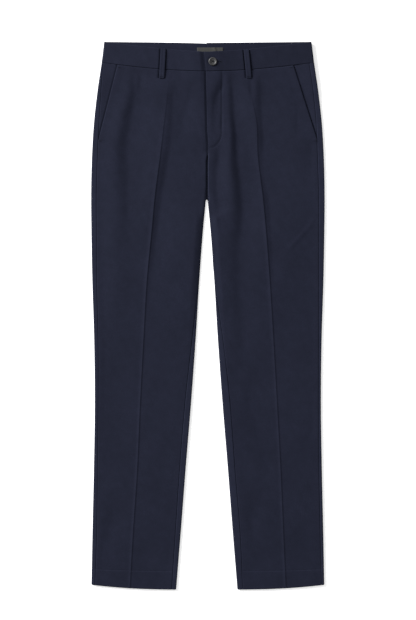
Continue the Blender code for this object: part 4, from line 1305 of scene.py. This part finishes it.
def stitch_points(start, end, radius, ground):
    """A stitch's points, ring by ring: thick in the middle, with ends that dive into the cloth."""
    way = (end - start) / np.linalg.norm(end - start)
    made = []
    for t in STITCH_STATIONS:
        x, y = blend(start, end, t)
        from_middle = abs(2 * t - 1)
        thick = radius * math.sqrt(max(1 - from_middle**4, STITCH_TIP))
        z = ground.height(x, y) - STITCH_SINK * radius - STITCH_DIVE * radius * from_middle**3
        for i in range(STITCH_SIDES):
            turn = 2 * math.pi * i / STITCH_SIDES
            spot = turned_left(way) * thick * math.cos(turn)
            made.append((x + spot[0], y + spot[1], z + thick * math.sin(turn)))
    return made


def stitches(name, runs, radius, finish, ground):
    """Short rounded stitches. runs is a list of (start, end) places in x and y."""
    verts, faces = [], []
    for start, end in runs:
        first = len(verts)
        verts += stitch_points(np.array(start, float), np.array(end, float), radius, ground)
        last = len(verts) - STITCH_SIDES
        for ring in range(first, last, STITCH_SIDES):
            for i in range(STITCH_SIDES):
                a, b = ring + i, ring + (i + 1) % STITCH_SIDES
                faces.append((a, b, b + STITCH_SIDES, a + STITCH_SIDES))
        faces.append(tuple(range(first + STITCH_SIDES - 1, first - 1, -1)))
        faces.append(tuple(range(last, last + STITCH_SIDES)))
    mesh = bpy.data.meshes.new(name)
    mesh.from_pydata(to_metres(verts).tolist(), [], faces)
    mesh.shade_smooth()
    return own(put(mesh, name, finish), None)


def run_along(points, thread, slant=0.0):
    """Stitches along a polyline, each turned a little from its direction."""
    places, ways = walk(points, thread.pitch)
    turned = ways * math.cos(slant) + turned_left(ways) * math.sin(slant)
    halves = turned * thread.length / 2
    return [(place - half, place + half) for place, half in zip(places, halves, strict=True)]


def bar(middle, thread, height):
    """A bar tack: close upright stitches in a level row."""
    runs = []
    for at in np.arange(-thread.length / 2, thread.length / 2 + thread.pitch / 2, thread.pitch):
        place = np.array(middle) + (at, 0)
        runs.append((place - (0, height / 2), place + (0, height / 2)))
    return runs


# The pieces


def make_legs(front_finish, back_finish):
    made = {}
    for word, side in SIDES.items():
        front, back = with_hem(front_grid(side), side), with_hem(back_grid(side), side)
        made |= cloth("trouser_front_" + word, front, front_finish, "front_" + word, side=side)
        made |= cloth("trouser_back_" + word, back, back_finish, "back_" + word, side=side)
    return made


def make_pockets(finish):
    made = {}
    for word, side in SIDES.items():
        made |= cloth("pocket_" + word, facing_grid(side), finish, "pocket_facing_" + word, side=side)
    return made


def make_waist(right_finish, left_finish):
    form = {"wall": BAND_WALL, "edge_round": BAND_ROUND}
    left, kept = with_keyhole(band_grid(LEFT))
    return {
        **cloth("waist_right", band_grid(RIGHT), right_finish, "waistband_right", side=RIGHT, **form),
        **cloth("waist_left", left, left_finish, "waistband_left", kept=kept, **form),
    }


def make_loops(finish):
    made = {}
    for loop in FRONT_LOOPS:
        node = "belt_loop_front_" + loop.name
        made |= cloth("loop_front_" + loop.name, front_loop_grid(loop), finish, node, wall=LOOP_DEPTH)
    for word in BACK_LOOPS:
        node = "belt_loop_back_" + word
        made |= cloth("loop_back_" + word, back_loop_grid(*node_box(node)), finish, node, wall=LOOP_WALL)
    return made


def make_fly(finish, tape_finish, metal):
    make_zip(metal)
    guard = strip_grid("fly_shield", GUARD_PLACE, guard_level)
    tape = strip_grid("zip", TAPE_PLACE, tape_level)
    return {
        **cloth("fly_guard", guard, finish, "fly_shield"),
        **cloth("zip_tape", tape, tape_finish, "zip", wall=TAPE_WALL, slot_name="zip_tape"),
    }


def make_label(finish):
    return cloth("woven_label", label_grid(), finish, "label", wall=LABEL_WALL, slot_name="label")


# The zip's metal

ZIP_SOFT_EDGE = 0.12
TOOTH_PITCH = 0.75
TOOTH_SHIFT = 0.7  # every other tooth lies this far to the other side
TOOTH_SIZE = {"width": 2.6, "length": 1.1, "corner": 0.2, "steps": 2}
TEETH_IN = (3, 2)  # from the tape's lower and upper ends
TOOTH_LEVELS = (-0.1, 0.6)  # over the tape, as are the next ones
PLATE_LEVELS = (0.65, 1.0)
BRIDGE_LEVELS = (1.02, 1.3)
PULL_LEVELS = (1.1, 1.5)
PULL_END_IN = 4  # how far short of its solid's lower end it stops
PULL_STEM_SHARE = 0.35
PULL_ARM_X = 1.9
PULL_ARM_WIDTH = 0.9
PULL_ARM_LAP = 0.5
PULL_BAR_SHIFT = 3  # from the slider's middle up to the bar


def prism(shape, outline, level, heights):
    """An upright prism on a closed outline, between two heights over a level, added to a bmesh."""
    rings = [[shape.verts.new(to_metres((x, y, level + up))) for x, y in outline] for up in heights]
    shape.faces.new(rings[0][::-1])
    shape.faces.new(rings[1])
    for i in range(len(outline)):
        j = (i + 1) % len(outline)
        shape.faces.new((rings[0][i], rings[0][j], rings[1][j], rings[1][i]))


def oblong(x, y, width, length, corner, steps=6):
    """An upright oblong with round corners, as an outline."""
    places = []
    for i, (sign_x, sign_y) in enumerate([(1, 1), (-1, 1), (-1, -1), (1, -1)]):
        for turn in np.linspace(i * math.pi / 2, (i + 1) * math.pi / 2, steps):
            at_x = x + sign_x * (width / 2 - corner) + corner * math.cos(turn)
            places.append((at_x, y + sign_y * (length / 2 - corner) + corner * math.sin(turn)))
    return places


def metal_piece(name, shape, finish, node=None):
    soften(own(put(mesh_of(shape, name), name, finish), node), ZIP_SOFT_EDGE)


def make_teeth(x, finish):
    """The closed teeth, up the tape."""
    low, high = node_box("zip")
    teeth = bmesh.new()
    for i, y in enumerate(np.arange(low[1] + TEETH_IN[0], high[1] - TEETH_IN[1], TOOTH_PITCH)):
        tooth = oblong(x + (-TOOTH_SHIFT, TOOTH_SHIFT)[i % 2], y, **TOOTH_SIZE)
        prism(teeth, tooth, float(tape_level(x, y)), TOOTH_LEVELS)
    metal_piece("zip_teeth", teeth, finish)


def make_runner(x, y, size, level, finish):
    """The slider: a plate with a bridge on it."""
    runner = bmesh.new()
    prism(runner, oblong(x, y, size[0], size[1], corner=1.6), level, PLATE_LEVELS)
    prism(runner, oblong(x, y, width=2.2, length=0.7 * size[1], corner=0.6), level, BRIDGE_LEVELS)
    metal_piece("zip_runner", runner, finish, "zip_slider")


def make_pull(x, y, level, finish):
    """The pull hangs from the slider: a round plate, and two arms up to a bar. It follows the tape."""
    low, high = node_box("zip_pull")
    end_y = low[1] + PULL_END_IN
    stem = PULL_STEM_SHARE * (high[1] - end_y)
    arms_y = end_y + 2 * stem - PULL_ARM_LAP
    bar_y = y + PULL_BAR_SHIFT
    outlines = [oblong(x, end_y + stem, high[0] - low[0], 2 * stem, corner=2.2)]
    for sign in (-1, 1):
        arm_x, arm_y = x + sign * PULL_ARM_X, (arms_y + bar_y) / 2
        outlines.append(oblong(arm_x, arm_y, PULL_ARM_WIDTH, length=bar_y - arms_y, corner=0.4))
    outlines.append(oblong(x, bar_y, width=2.8, length=PULL_ARM_WIDTH, corner=0.4))
    tab = bmesh.new()
    for outline in outlines:
        prism(tab, outline, level, PULL_LEVELS)
    for vert in tab.verts:
        vert.co.z += to_metres(tape_level(x, vert.co.y / MM) - level)
    metal_piece("zip_tab", tab, finish, "zip_pull")


def make_zip(finish):
    """The zip's closed teeth, its slider near the waist, and the pull that hangs from it."""
    low, high = node_box("zip_slider")
    x, y = (low + high)[:2] / 2
    level = float(tape_level(x, y))
    make_teeth(x, finish)
    make_runner(x, y, high - low, level, finish)
    make_pull(x, y, level, finish)


# The button

Turned = namedtuple("Turned", "radius height")
BUTTON_PROFILE = [  # from the middle of its face, over its rim, and back along its underside
    Turned(0.0, 0.95), Turned(4.0, 1.0), Turned(5.2, 1.15), Turned(5.9, 1.5), Turned(6.5, 2.0),
    Turned(7.1, 2.1), Turned(7.7, 1.8), Turned(8.2, 1.2), Turned(8.5, 0.6), Turned(8.2, 0.3),
    Turned(7.5, 0.1), Turned(5.5, 0.0), Turned(0.0, 0.0),
]
BUTTON_STEPS = 72
HOLE_CIRCLE = 1.9
HOLE_RADIUS = 0.95
HOLE_DEPTH = 8.0
HOLE_MIDDLE = 1.0  # over the button's base, as are the next levels
SHANK_TOP = 0.5
BAR_TOP = 1.3
BAR_ARCH = 0.1
BAR_BENDS = [(1.34, -1.4), (1.2, -0.3)]  # how far along from the bar's middle, and how much lower
SHANK_RADIUS = 0.75
SHANK_TURNS = 6
SHANK_STEPS = 12  # to a turn
SHANK_THREAD = 0.42
BAR_THREAD = 0.3
BAR_SHIFT = 0.28  # two threads lie side by side between each pair of holes
BAR_X = 1.34


def make_button(finish):
    """A turned button with a rim and four holes."""
    shape = bmesh.new()
    verts = [shape.verts.new(to_metres((turned.radius, 0, turned.height))) for turned in BUTTON_PROFILE]
    for first, second in zip(verts, verts[1:], strict=False):
        shape.edges.new((first, second))
    mesh = mesh_of(shape, "button_turned")
    mesh.shade_smooth()
    button = put(mesh, "button_turned", finish)
    button.location = to_metres((BUTTON_X, BUTTON_Y, BUTTON_BASE))
    turned = button.modifiers.new("turned", "SCREW")
    turned.steps = BUTTON_STEPS
    turned.render_steps = BUTTON_STEPS
    turned.use_merge_vertices = True
    turned.merge_threshold = 0.05 * MM
    holes = []
    for i in range(4):
        angle = math.pi / 4 + i * math.pi / 2
        x = BUTTON_X + HOLE_CIRCLE * math.cos(angle)
        y = BUTTON_Y + HOLE_CIRCLE * math.sin(angle)
        holes.append(drill(f"button hole {i}", (x, y, BUTTON_BASE + HOLE_MIDDLE)))
    own(drilled(button, holes), "button")


def drill(name, centre):
    """A cutter for one of the button's holes."""
    shape = bmesh.new()
    radius = HOLE_RADIUS * MM
    bmesh.ops.create_cone(
        shape, cap_ends=True, segments=24, radius1=radius, radius2=radius, depth=HOLE_DEPTH * MM
    )
    bmesh.ops.translate(shape, verts=shape.verts, vec=to_metres(centre))
    return bpy.data.objects.new(name, mesh_of(shape, name))


def drilled(body, cutters):
    """The body with its modifiers applied and the cutters taken out of it."""
    for cutter in cutters:
        bpy.context.scene.collection.objects.link(cutter)
        cut = body.modifiers.new("cut " + cutter.name, "BOOLEAN")
        cut.operation = "DIFFERENCE"
        cut.object = cutter
    bpy.context.view_layer.update()
    graph = bpy.context.evaluated_depsgraph_get()
    mesh = bpy.data.meshes.new_from_object(body.evaluated_get(graph))
    body.modifiers.clear()
    body.data = mesh
    for cutter in cutters:
        bpy.data.objects.remove(cutter)
    return body


def shank_points():
    """The turns of thread under the button."""
    low_z = node_box("button_thread")[0][2]
    count = SHANK_TURNS * SHANK_STEPS
    points = []
    for i in range(count + 1):
        turn = 2 * math.pi * i / SHANK_STEPS
        x = BUTTON_X + SHANK_RADIUS * math.cos(turn)
        y = BUTTON_Y + SHANK_RADIUS * math.sin(turn)
        points.append((x, y, blend(low_z, BUTTON_BASE + SHANK_TOP, i / count)))
    return points


def bar_points(x):
    """A thread from hole to hole: up out of one, over the button's face and down into the other."""
    top = BUTTON_BASE + BAR_TOP
    up = [(x, BUTTON_Y - along, top + height) for along, height in BAR_BENDS]
    down = [(x, BUTTON_Y + along, top + height) for along, height in BAR_BENDS[::-1]]
    return [*up, (x, BUTTON_Y, top + BAR_ARCH), *down]


def make_sewing(finish):
    """The button's thread: a shank of turns under it, and two bars across its holes."""
    parts = [(shank_points(), SHANK_THREAD)]
    for side in (-1, 1):
        for shift in (-BAR_SHIFT, BAR_SHIFT):
            parts.append((bar_points(BUTTON_X + side * BAR_X + shift), BAR_THREAD))
    curve = bpy.data.curves.new("button_sewing", "CURVE")
    curve.dimensions = "3D"
    curve.bevel_depth = MM  # each point's own radius, in millimetres, makes it thicker or thinner
    curve.bevel_resolution = 3
    curve.use_fill_caps = True
    for points, radius in parts:
        line = curve.splines.new("POLY")
        line.points.add(len(points) - 1)
        for point, place in zip(line.points, points, strict=True):
            point.co = (*to_metres(place), 1.0)
            point.radius = radius
    own(put(curve, "button_sewing", finish), "button_thread")


# Sewing

Thread = namedtuple("Thread", "pitch length radius")  # length: of a stitch, or of a tack's whole row
FLY_STITCH = Thread(2.9, 2.2, 0.22)
HEM_STITCH = Thread(7.4, 1.3, 0.2)
HEM_SLANT = 0.5
HEM_START_IN = 16  # how far from the inner and the outer folds the hem's stitches start
HEM_END_IN = 10
FLY_STITCH_END_IN = 1.5  # how far from the fly's edge its stitches end
POCKET_TACK = Thread(0.45, 5.0, 0.22)
POCKET_TACK_HEIGHT = 1.6
POCKET_TOP_TACK = (4, 5)  # how far in and down from the pocket mouth's upper end
POCKET_END_TACK = (3.8, 1.5)
LOOP_TACK_THREAD = Thread(0.5, LOOP_WIDTH - 2.5, 0.2)
LOOP_TACK_HEIGHT = 1.4
HOLE_PITCH = 0.55
HOLE_STITCH = Span(0.3, 1.4)  # out from the slit
EYELET_TURN = 2.4  # the eyelet's stitches go this far round to either side
EYELET_STEP = 0.22
EYELET_STITCH = 1.6
HOLE_THREAD = 0.26


def stitch_line():
    """The fly's stitching: straight down from the waistband, and then in to the centre."""
    edge = float(fly_edge_x(STITCH_END_Y))
    width, depth = STITCH_X - edge, STITCH_TURN_Y - STITCH_END_Y
    turns = np.linspace(0, math.pi / 2, 24)[:-1]
    curve = [(edge + width * math.cos(turn), STITCH_TURN_Y - depth * math.sin(turn)) for turn in turns]
    straight = [(STITCH_X, SEAM_Y - 2), (STITCH_X, STITCH_TURN_Y + 1)]
    return [*straight, *curve, (edge + FLY_STITCH_END_IN, STITCH_END_Y)]


def hem_line(side):
    """The line of a hem's blind stitches."""
    start, end = CURVES["inner"](HEM_LINE_Y) + HEM_START_IN, outer_x(HEM_LINE_Y) - HEM_END_IN
    xs = side * np.linspace(start, end, 60)
    return [(x, HEM_LINE_Y + hem_rise(x) * rise(*HEM_ROWS, HEM_LINE_Y)) for x in xs]


def pocket_runs(side):
    """The tacks at both ends of a pocket mouth."""
    end = (side * (pocket_x(side, POCKET_END_Y) - POCKET_END_TACK[0]), POCKET_END_Y - POCKET_END_TACK[1])
    top = (side * (POCKET_TOP_X[side] - POCKET_TOP_TACK[0]), POCKET_TOP_Y - POCKET_TOP_TACK[1])
    return [run for place in (end, top) for run in bar(place, POCKET_TACK, POCKET_TACK_HEIGHT)]


def buttonhole_runs():
    """Close stitches all round the keyhole."""
    runs = []
    for sign in (-1, 1):
        for x in np.arange(HOLE_START_X, EYELET_X - EYELET_RADIUS, HOLE_PITCH):
            start = BUTTON_Y + sign * HOLE_STITCH.start
            runs.append(((x, start), (x, start + sign * HOLE_STITCH.length)))
    middle = np.array([EYELET_X, BUTTON_Y])
    for turn in np.arange(-EYELET_TURN, EYELET_TURN, EYELET_STEP):
        way = np.array([math.cos(turn), math.sin(turn)])
        runs.append((middle + way * EYELET_RADIUS, middle + way * (EYELET_RADIUS + EYELET_STITCH)))
    return runs


def sew(thread, light_thread, hole_thread, grids):
    """All the visible stitching, by the piece that it is on."""

    def ground(*starts):
        return Ground([points for name, (_, points) in grids.items() if name.startswith(starts)])

    fronts = ground("trouser", "pocket")
    loops = ground("loop_front")
    sewn = {name: [] for name in grids}
    runs = run_along(stitch_line(), FLY_STITCH)
    sewn["trouser_front_left"].append(stitches("stitches_fly", runs, FLY_STITCH.radius, thread, fronts))
    for word, side in SIDES.items():
        front = sewn["trouser_front_" + word]
        runs = run_along(hem_line(side), HEM_STITCH, HEM_SLANT)
        front.append(stitches("stitches_hem_" + word, runs, HEM_STITCH.radius, light_thread, fronts))
        runs = pocket_runs(side)
        front.append(stitches("tacks_pocket_" + word, runs, POCKET_TACK.radius, thread, fronts))
    for loop in FRONT_LOOPS:
        runs = bar((loop.bottom_x, LOOP_BOTTOM_Y + LOOP_TACK), LOOP_TACK_THREAD, LOOP_TACK_HEIGHT)
        piece = stitches("tack_loop_" + loop.name, runs, LOOP_TACK_THREAD.radius, thread, loops)
        sewn["loop_front_" + loop.name].append(piece)
    piece = stitches("stitches_buttonhole", buttonhole_runs(), HOLE_THREAD, hole_thread, ground("waist"))
    sewn["waist_left"].append(piece)
    return sewn


# Materials

RIB_SCALE = math.pi / 10  # a wave texture's scale at which its bands are 1 apart
TWILL_SCALE = 0.628  # the same for its diagonal bands, measured along x
MIX_FACTOR, MIX_ONE, MIX_OTHER, MIX_RESULT = 0, 6, 7, 2


class Finish:
    """A material in the making: short ways to add and join its nodes."""

    def __init__(self, name, colour, roughness, metallic=0.0):
        self.made = bpy.data.materials.new(name)
        self.made.use_nodes = True
        self.tree = self.made.node_tree
        self.shader = self.tree.nodes["Principled BSDF"]
        self.shader.inputs["Base Color"].default_value = (*colour, 1.0)
        self.shader.inputs["Roughness"].default_value = roughness
        self.shader.inputs["Metallic"].default_value = metallic
        self.place = self.add("ShaderNodeTexCoord").outputs["Object"]

    def add(self, kind, inputs=None, **settings):
        node = self.tree.nodes.new(kind)
        for key, value in settings.items():
            setattr(node, key, value)
        for key, value in (inputs or {}).items():
            if isinstance(value, bpy.types.NodeSocket):
                self.tree.links.new(value, node.inputs[key])
            else:
                node.inputs[key].default_value = value
        return node

    def join(self, name, output):
        """Joins an output to the shader's input of this name."""
        self.tree.links.new(output, self.shader.inputs[name])

    def noise(self, size, detail=2.0):
        """Noise whose marks are about this many millimetres across."""
        inputs = {"Vector": self.place, "Scale": 1 / (size * MM), "Detail": detail}
        return self.add("ShaderNodeTexNoise", inputs).outputs["Fac"]

    def ribs(self, pitch, direction):
        """Ribs across x or y, at a pitch in millimetres."""
        inputs = {"Vector": self.place, "Scale": RIB_SCALE / (pitch * MM), "Distortion": 0.0}
        return self.add("ShaderNodeTexWave", inputs, bands_direction=direction).outputs["Fac"]

    def twill(self, pitch):
        """Ribs across the line between x and y."""
        scale = TWILL_SCALE / (pitch * math.sqrt(2) * MM)
        inputs = {"Vector": self.place, "Scale": scale, "Distortion": 0.0}
        return self.add("ShaderNodeTexWave", inputs, bands_direction="DIAGONAL").outputs["Fac"]

    def spread(self, fac, low, high):
        """fac from 0..1 to low..high."""
        inputs = {"Value": fac, "To Min": low, "To Max": high}
        return self.add("ShaderNodeMapRange", inputs).outputs["Result"]

    def times(self, one, other):
        return self.add("ShaderNodeMath", {0: one, 1: other}, operation="MULTIPLY").outputs[0]

    def mix(self, fac, one, other):
        """A colour between two. The sockets' names repeat for each kind of data, so they go by place."""
        inputs = {MIX_FACTOR: fac, MIX_ONE: (*one, 1.0), MIX_OTHER: (*other, 1.0)}
        return self.add("ShaderNodeMix", inputs, data_type="RGBA").outputs[MIX_RESULT]

    def bump(self, height, distance, strength=1.0, below=None):
        inputs = {"Height": height, "Distance": distance * MM, "Strength": strength}
        if below is not None:
            inputs["Normal"] = below
        return self.add("ShaderNodeBump", inputs).outputs["Normal"]


SUITING_DARK = (0.0061, 0.007, 0.0129)
SUITING_LIGHT = (0.0142, 0.016, 0.0298)
BAND_TONE = 0.86  # the left waistband's suiting is a darker copy, by this factor
BACK_PAINTED_LIGHT = 1.12  # painted light: the backs' suiting is a lighter copy, for the light on their strips along the folds


def suiting(name, tone):
    """Navy worsted: a fine twill, a melange of darker and lighter yarns, and soft mottling."""
    dark, light = (tuple(value * tone for value in colour) for colour in (SUITING_DARK, SUITING_LIGHT))
    look = Finish(name, light, 0.82)
    twill = look.twill(0.85)
    yarn = look.noise(0.7, 3.0)
    cloud = look.spread(look.noise(60.0), 0.7, 1.3)
    cloud = look.times(cloud, look.spread(look.noise(14.0, 3.0), 0.68, 1.32))
    cloud = look.times(cloud, look.spread(look.noise(3.4), 0.68, 1.32))
    fac = look.times(look.spread(yarn, 0.0, 1.15), cloud)
    look.join("Base Color", look.mix(look.times(fac, look.spread(twill, 0.8, 1.1)), dark, light))
    look.join("Normal", look.bump(twill, 0.07, 0.7, look.bump(yarn, 0.05, 0.6)))
    look.shader.inputs["Sheen Weight"].default_value = 0.02
    look.shader.inputs["Sheen Roughness"].default_value = 0.4
    look.shader.inputs["Sheen Tint"].default_value = (0.6, 0.68, 0.9, 1.0)
    look.shader.inputs["Specular IOR Level"].default_value = 0.04
    return look.made


def clouded_grey():
    """The button's cloudy grey, with fine streaks."""
    look = Finish("clouded grey button", (0.11, 0.11, 0.115), 0.38)
    fac = look.times(look.spread(look.noise(4.0, 4.0), 0.0, 1.4), look.spread(look.noise(1.1), 0.6, 1.2))
    look.join("Base Color", look.mix(fac, (0.007, 0.007, 0.0078), (0.029, 0.029, 0.03)))
    look.join("Roughness", look.spread(look.noise(1.5), 0.4, 0.58))
    look.join("Normal", look.bump(look.noise(0.9), 0.03))
    look.shader.inputs["Specular IOR Level"].default_value = 0.35
    return look.made


def label_weave():
    """The label's ribbed olive-grey weave."""
    look = Finish("olive-grey label", (0.07, 0.07, 0.065), 0.75)
    rib = look.ribs(1.0, "Y")
    fac = look.times(look.spread(rib, 0.7, 1.1), look.spread(look.noise(0.5), 0.5, 1.2))
    look.join("Base Color", look.mix(fac, (0.0105, 0.0105, 0.0096), (0.0216, 0.0216, 0.0198)))
    look.join("Normal", look.bump(rib, 0.08))
    look.shader.inputs["Sheen Weight"].default_value = 0.07
    look.shader.inputs["Specular IOR Level"].default_value = 0.42
    return look.made


def tape_weave():
    """The zip tape's dark ribbed weave."""
    look = Finish("zip tape", (0.014, 0.016, 0.027), 0.75)
    rib = look.ribs(0.9, "X")
    fac = look.times(look.spread(rib, 0.6, 1.1), look.spread(look.noise(0.5), 0.4, 1.1))
    look.join("Base Color", look.mix(fac, (0.008, 0.009, 0.015), (0.022, 0.025, 0.042)))
    look.join("Normal", look.bump(rib, 0.08))
    return look.made


def plain_thread(name, dark, light):
    """Twisted thread: fine slanting turns."""
    look = Finish(name, light, 0.85)
    twist = look.twill(0.3)
    look.join("Base Color", look.mix(look.times(twist, look.noise(0.4)), dark, light))
    look.join("Normal", look.bump(twist, 0.05))
    look.shader.inputs["Specular IOR Level"].default_value = 0.08
    return look.made


def dull_metal():
    """Grey zip metal, with fine scratches and worn edges."""
    look = Finish("zip metal", (0.3, 0.3, 0.31), 0.38, 1.0)
    worn = look.noise(1.8, 4.0)
    look.join("Base Color", look.mix(worn, (0.2, 0.2, 0.205), (0.42, 0.42, 0.43)))
    look.join("Roughness", look.spread(worn, 0.28, 0.55))
    look.join("Normal", look.bump(look.noise(0.35), 0.02))
    return look.made


# Floor, light and camera


def make_floor():
    """A white floor that glows a little, so that it stays white in the garment's shadow."""
    look = Finish("white sweep", (0.9, 0.9, 0.9), 0.95)
    look.join("Base Color", look.mix(look.noise(400.0), (0.89, 0.89, 0.89), (0.91, 0.91, 0.91)))
    look.shader.inputs["Emission Color"].default_value = (1.0, 1.0, 1.0, 1.0)
    look.shader.inputs["Emission Strength"].default_value = FLOOR_GLOW
    shape = bmesh.new()
    bmesh.ops.create_grid(shape, x_segments=1, y_segments=1, size=FLOOR_HALF)
    floor = put(mesh_of(shape, "studio_floor"), "studio_floor", look.made)
    floor.location.z = -FLOOR_ROOM
    return floor


def make_softbox():
    light = bpy.data.lights.new("softbox", "AREA")
    light.shape = "DISK"
    light.size = LIGHT_SIZE
    light.energy = LIGHT_POWER
    softbox = bpy.data.objects.new("softbox", light)
    low = math.radians(LIGHT_ELEVATION)
    towards = Vector((LIGHT_SIDE[0] * math.cos(low), LIGHT_SIDE[1] * math.cos(low), math.sin(low)))
    softbox.location = towards * LIGHT_DISTANCE
    softbox.rotation_euler = towards.to_track_quat("Z", "Y").to_euler()
    bpy.context.scene.collection.objects.link(softbox)
    return softbox


def make_room():
    world = bpy.data.worlds.new("room")
    world.use_nodes = True
    world.node_tree.nodes["Background"].inputs["Color"].default_value = (1.0, 1.0, 1.0, 1.0)
    world.node_tree.nodes["Background"].inputs["Strength"].default_value = ROOM_LIGHT
    bpy.context.scene.world = world
    bpy.context.scene.view_settings.view_transform = "Standard"


def make_camera():
    lens = bpy.data.cameras.new("camera")
    lens.lens = 85.0
    lens.sensor_width = 36.0
    lens.clip_end = 20.0
    camera = bpy.data.objects.new("camera", lens)
    camera.location = CAMERA_PLACE
    bpy.context.scene.collection.objects.link(camera)
    bpy.context.scene.camera = camera


# What lies on what

RESTS_ON = {
    "trouser_front": ["trouser_back", "pocket", "fly_guard"],
    "trouser_back": ["studio_floor"],
    "pocket": ["trouser_back"],
    "waist": ["loop_back"],
    "loop_front": ["waist", "trouser_front"],
    "loop_back": ["studio_floor"],
    "fly_guard": ["trouser_back"],
    "zip_tape": ["fly_guard"],
    "woven_label": ["waist"],
}


def rests_of(name, names):
    """The shown pieces that a piece lies on: those of its own side, or all where the name has no side."""
    kind = next(kind for kind in RESTS_ON if name.startswith(kind))
    side = name.rsplit("_", 1)[-1]
    found = []
    for below in RESTS_ON[kind]:
        if below == "studio_floor":
            found.append(below)
            continue
        matches = [other for other in names if other.startswith(below)]
        own_side = [other for other in matches if other.endswith(side)]
        found += own_side if own_side and side in SIDES else matches
    return found


def main():
    navy = suiting("navy suiting", 1.0)
    thread = plain_thread("navy thread", (0.002, 0.0025, 0.004), (0.009, 0.0105, 0.017))
    hole_thread = plain_thread("buttonhole thread", (0.006, 0.007, 0.0125), (0.016, 0.018, 0.032))
    light_thread = plain_thread("light stitches", (0.012, 0.014, 0.024), (0.035, 0.04, 0.062))
    grids = {
        # the backs take a copy of the suiting painted lighter, for the light on their strips along the folds
        **make_legs(navy, suiting("navy suiting behind", BACK_PAINTED_LIGHT)),
        **make_pockets(navy),
        # the left waistband takes a darker copy of the suiting
        **make_waist(navy, suiting("navy suiting across", BAND_TONE)),
        **make_loops(navy),
        **make_fly(navy, tape_weave(), dull_metal()),
        **make_label(label_weave()),
    }
    sewn = sew(thread, light_thread, hole_thread, grids)
    for name, (made, points) in grids.items():
        declare(points, rests_of(name, list(grids)))
    make_button(clouded_grey())
    make_sewing(thread)
    make_floor()
    make_softbox()
    make_room()
    make_camera()


main()
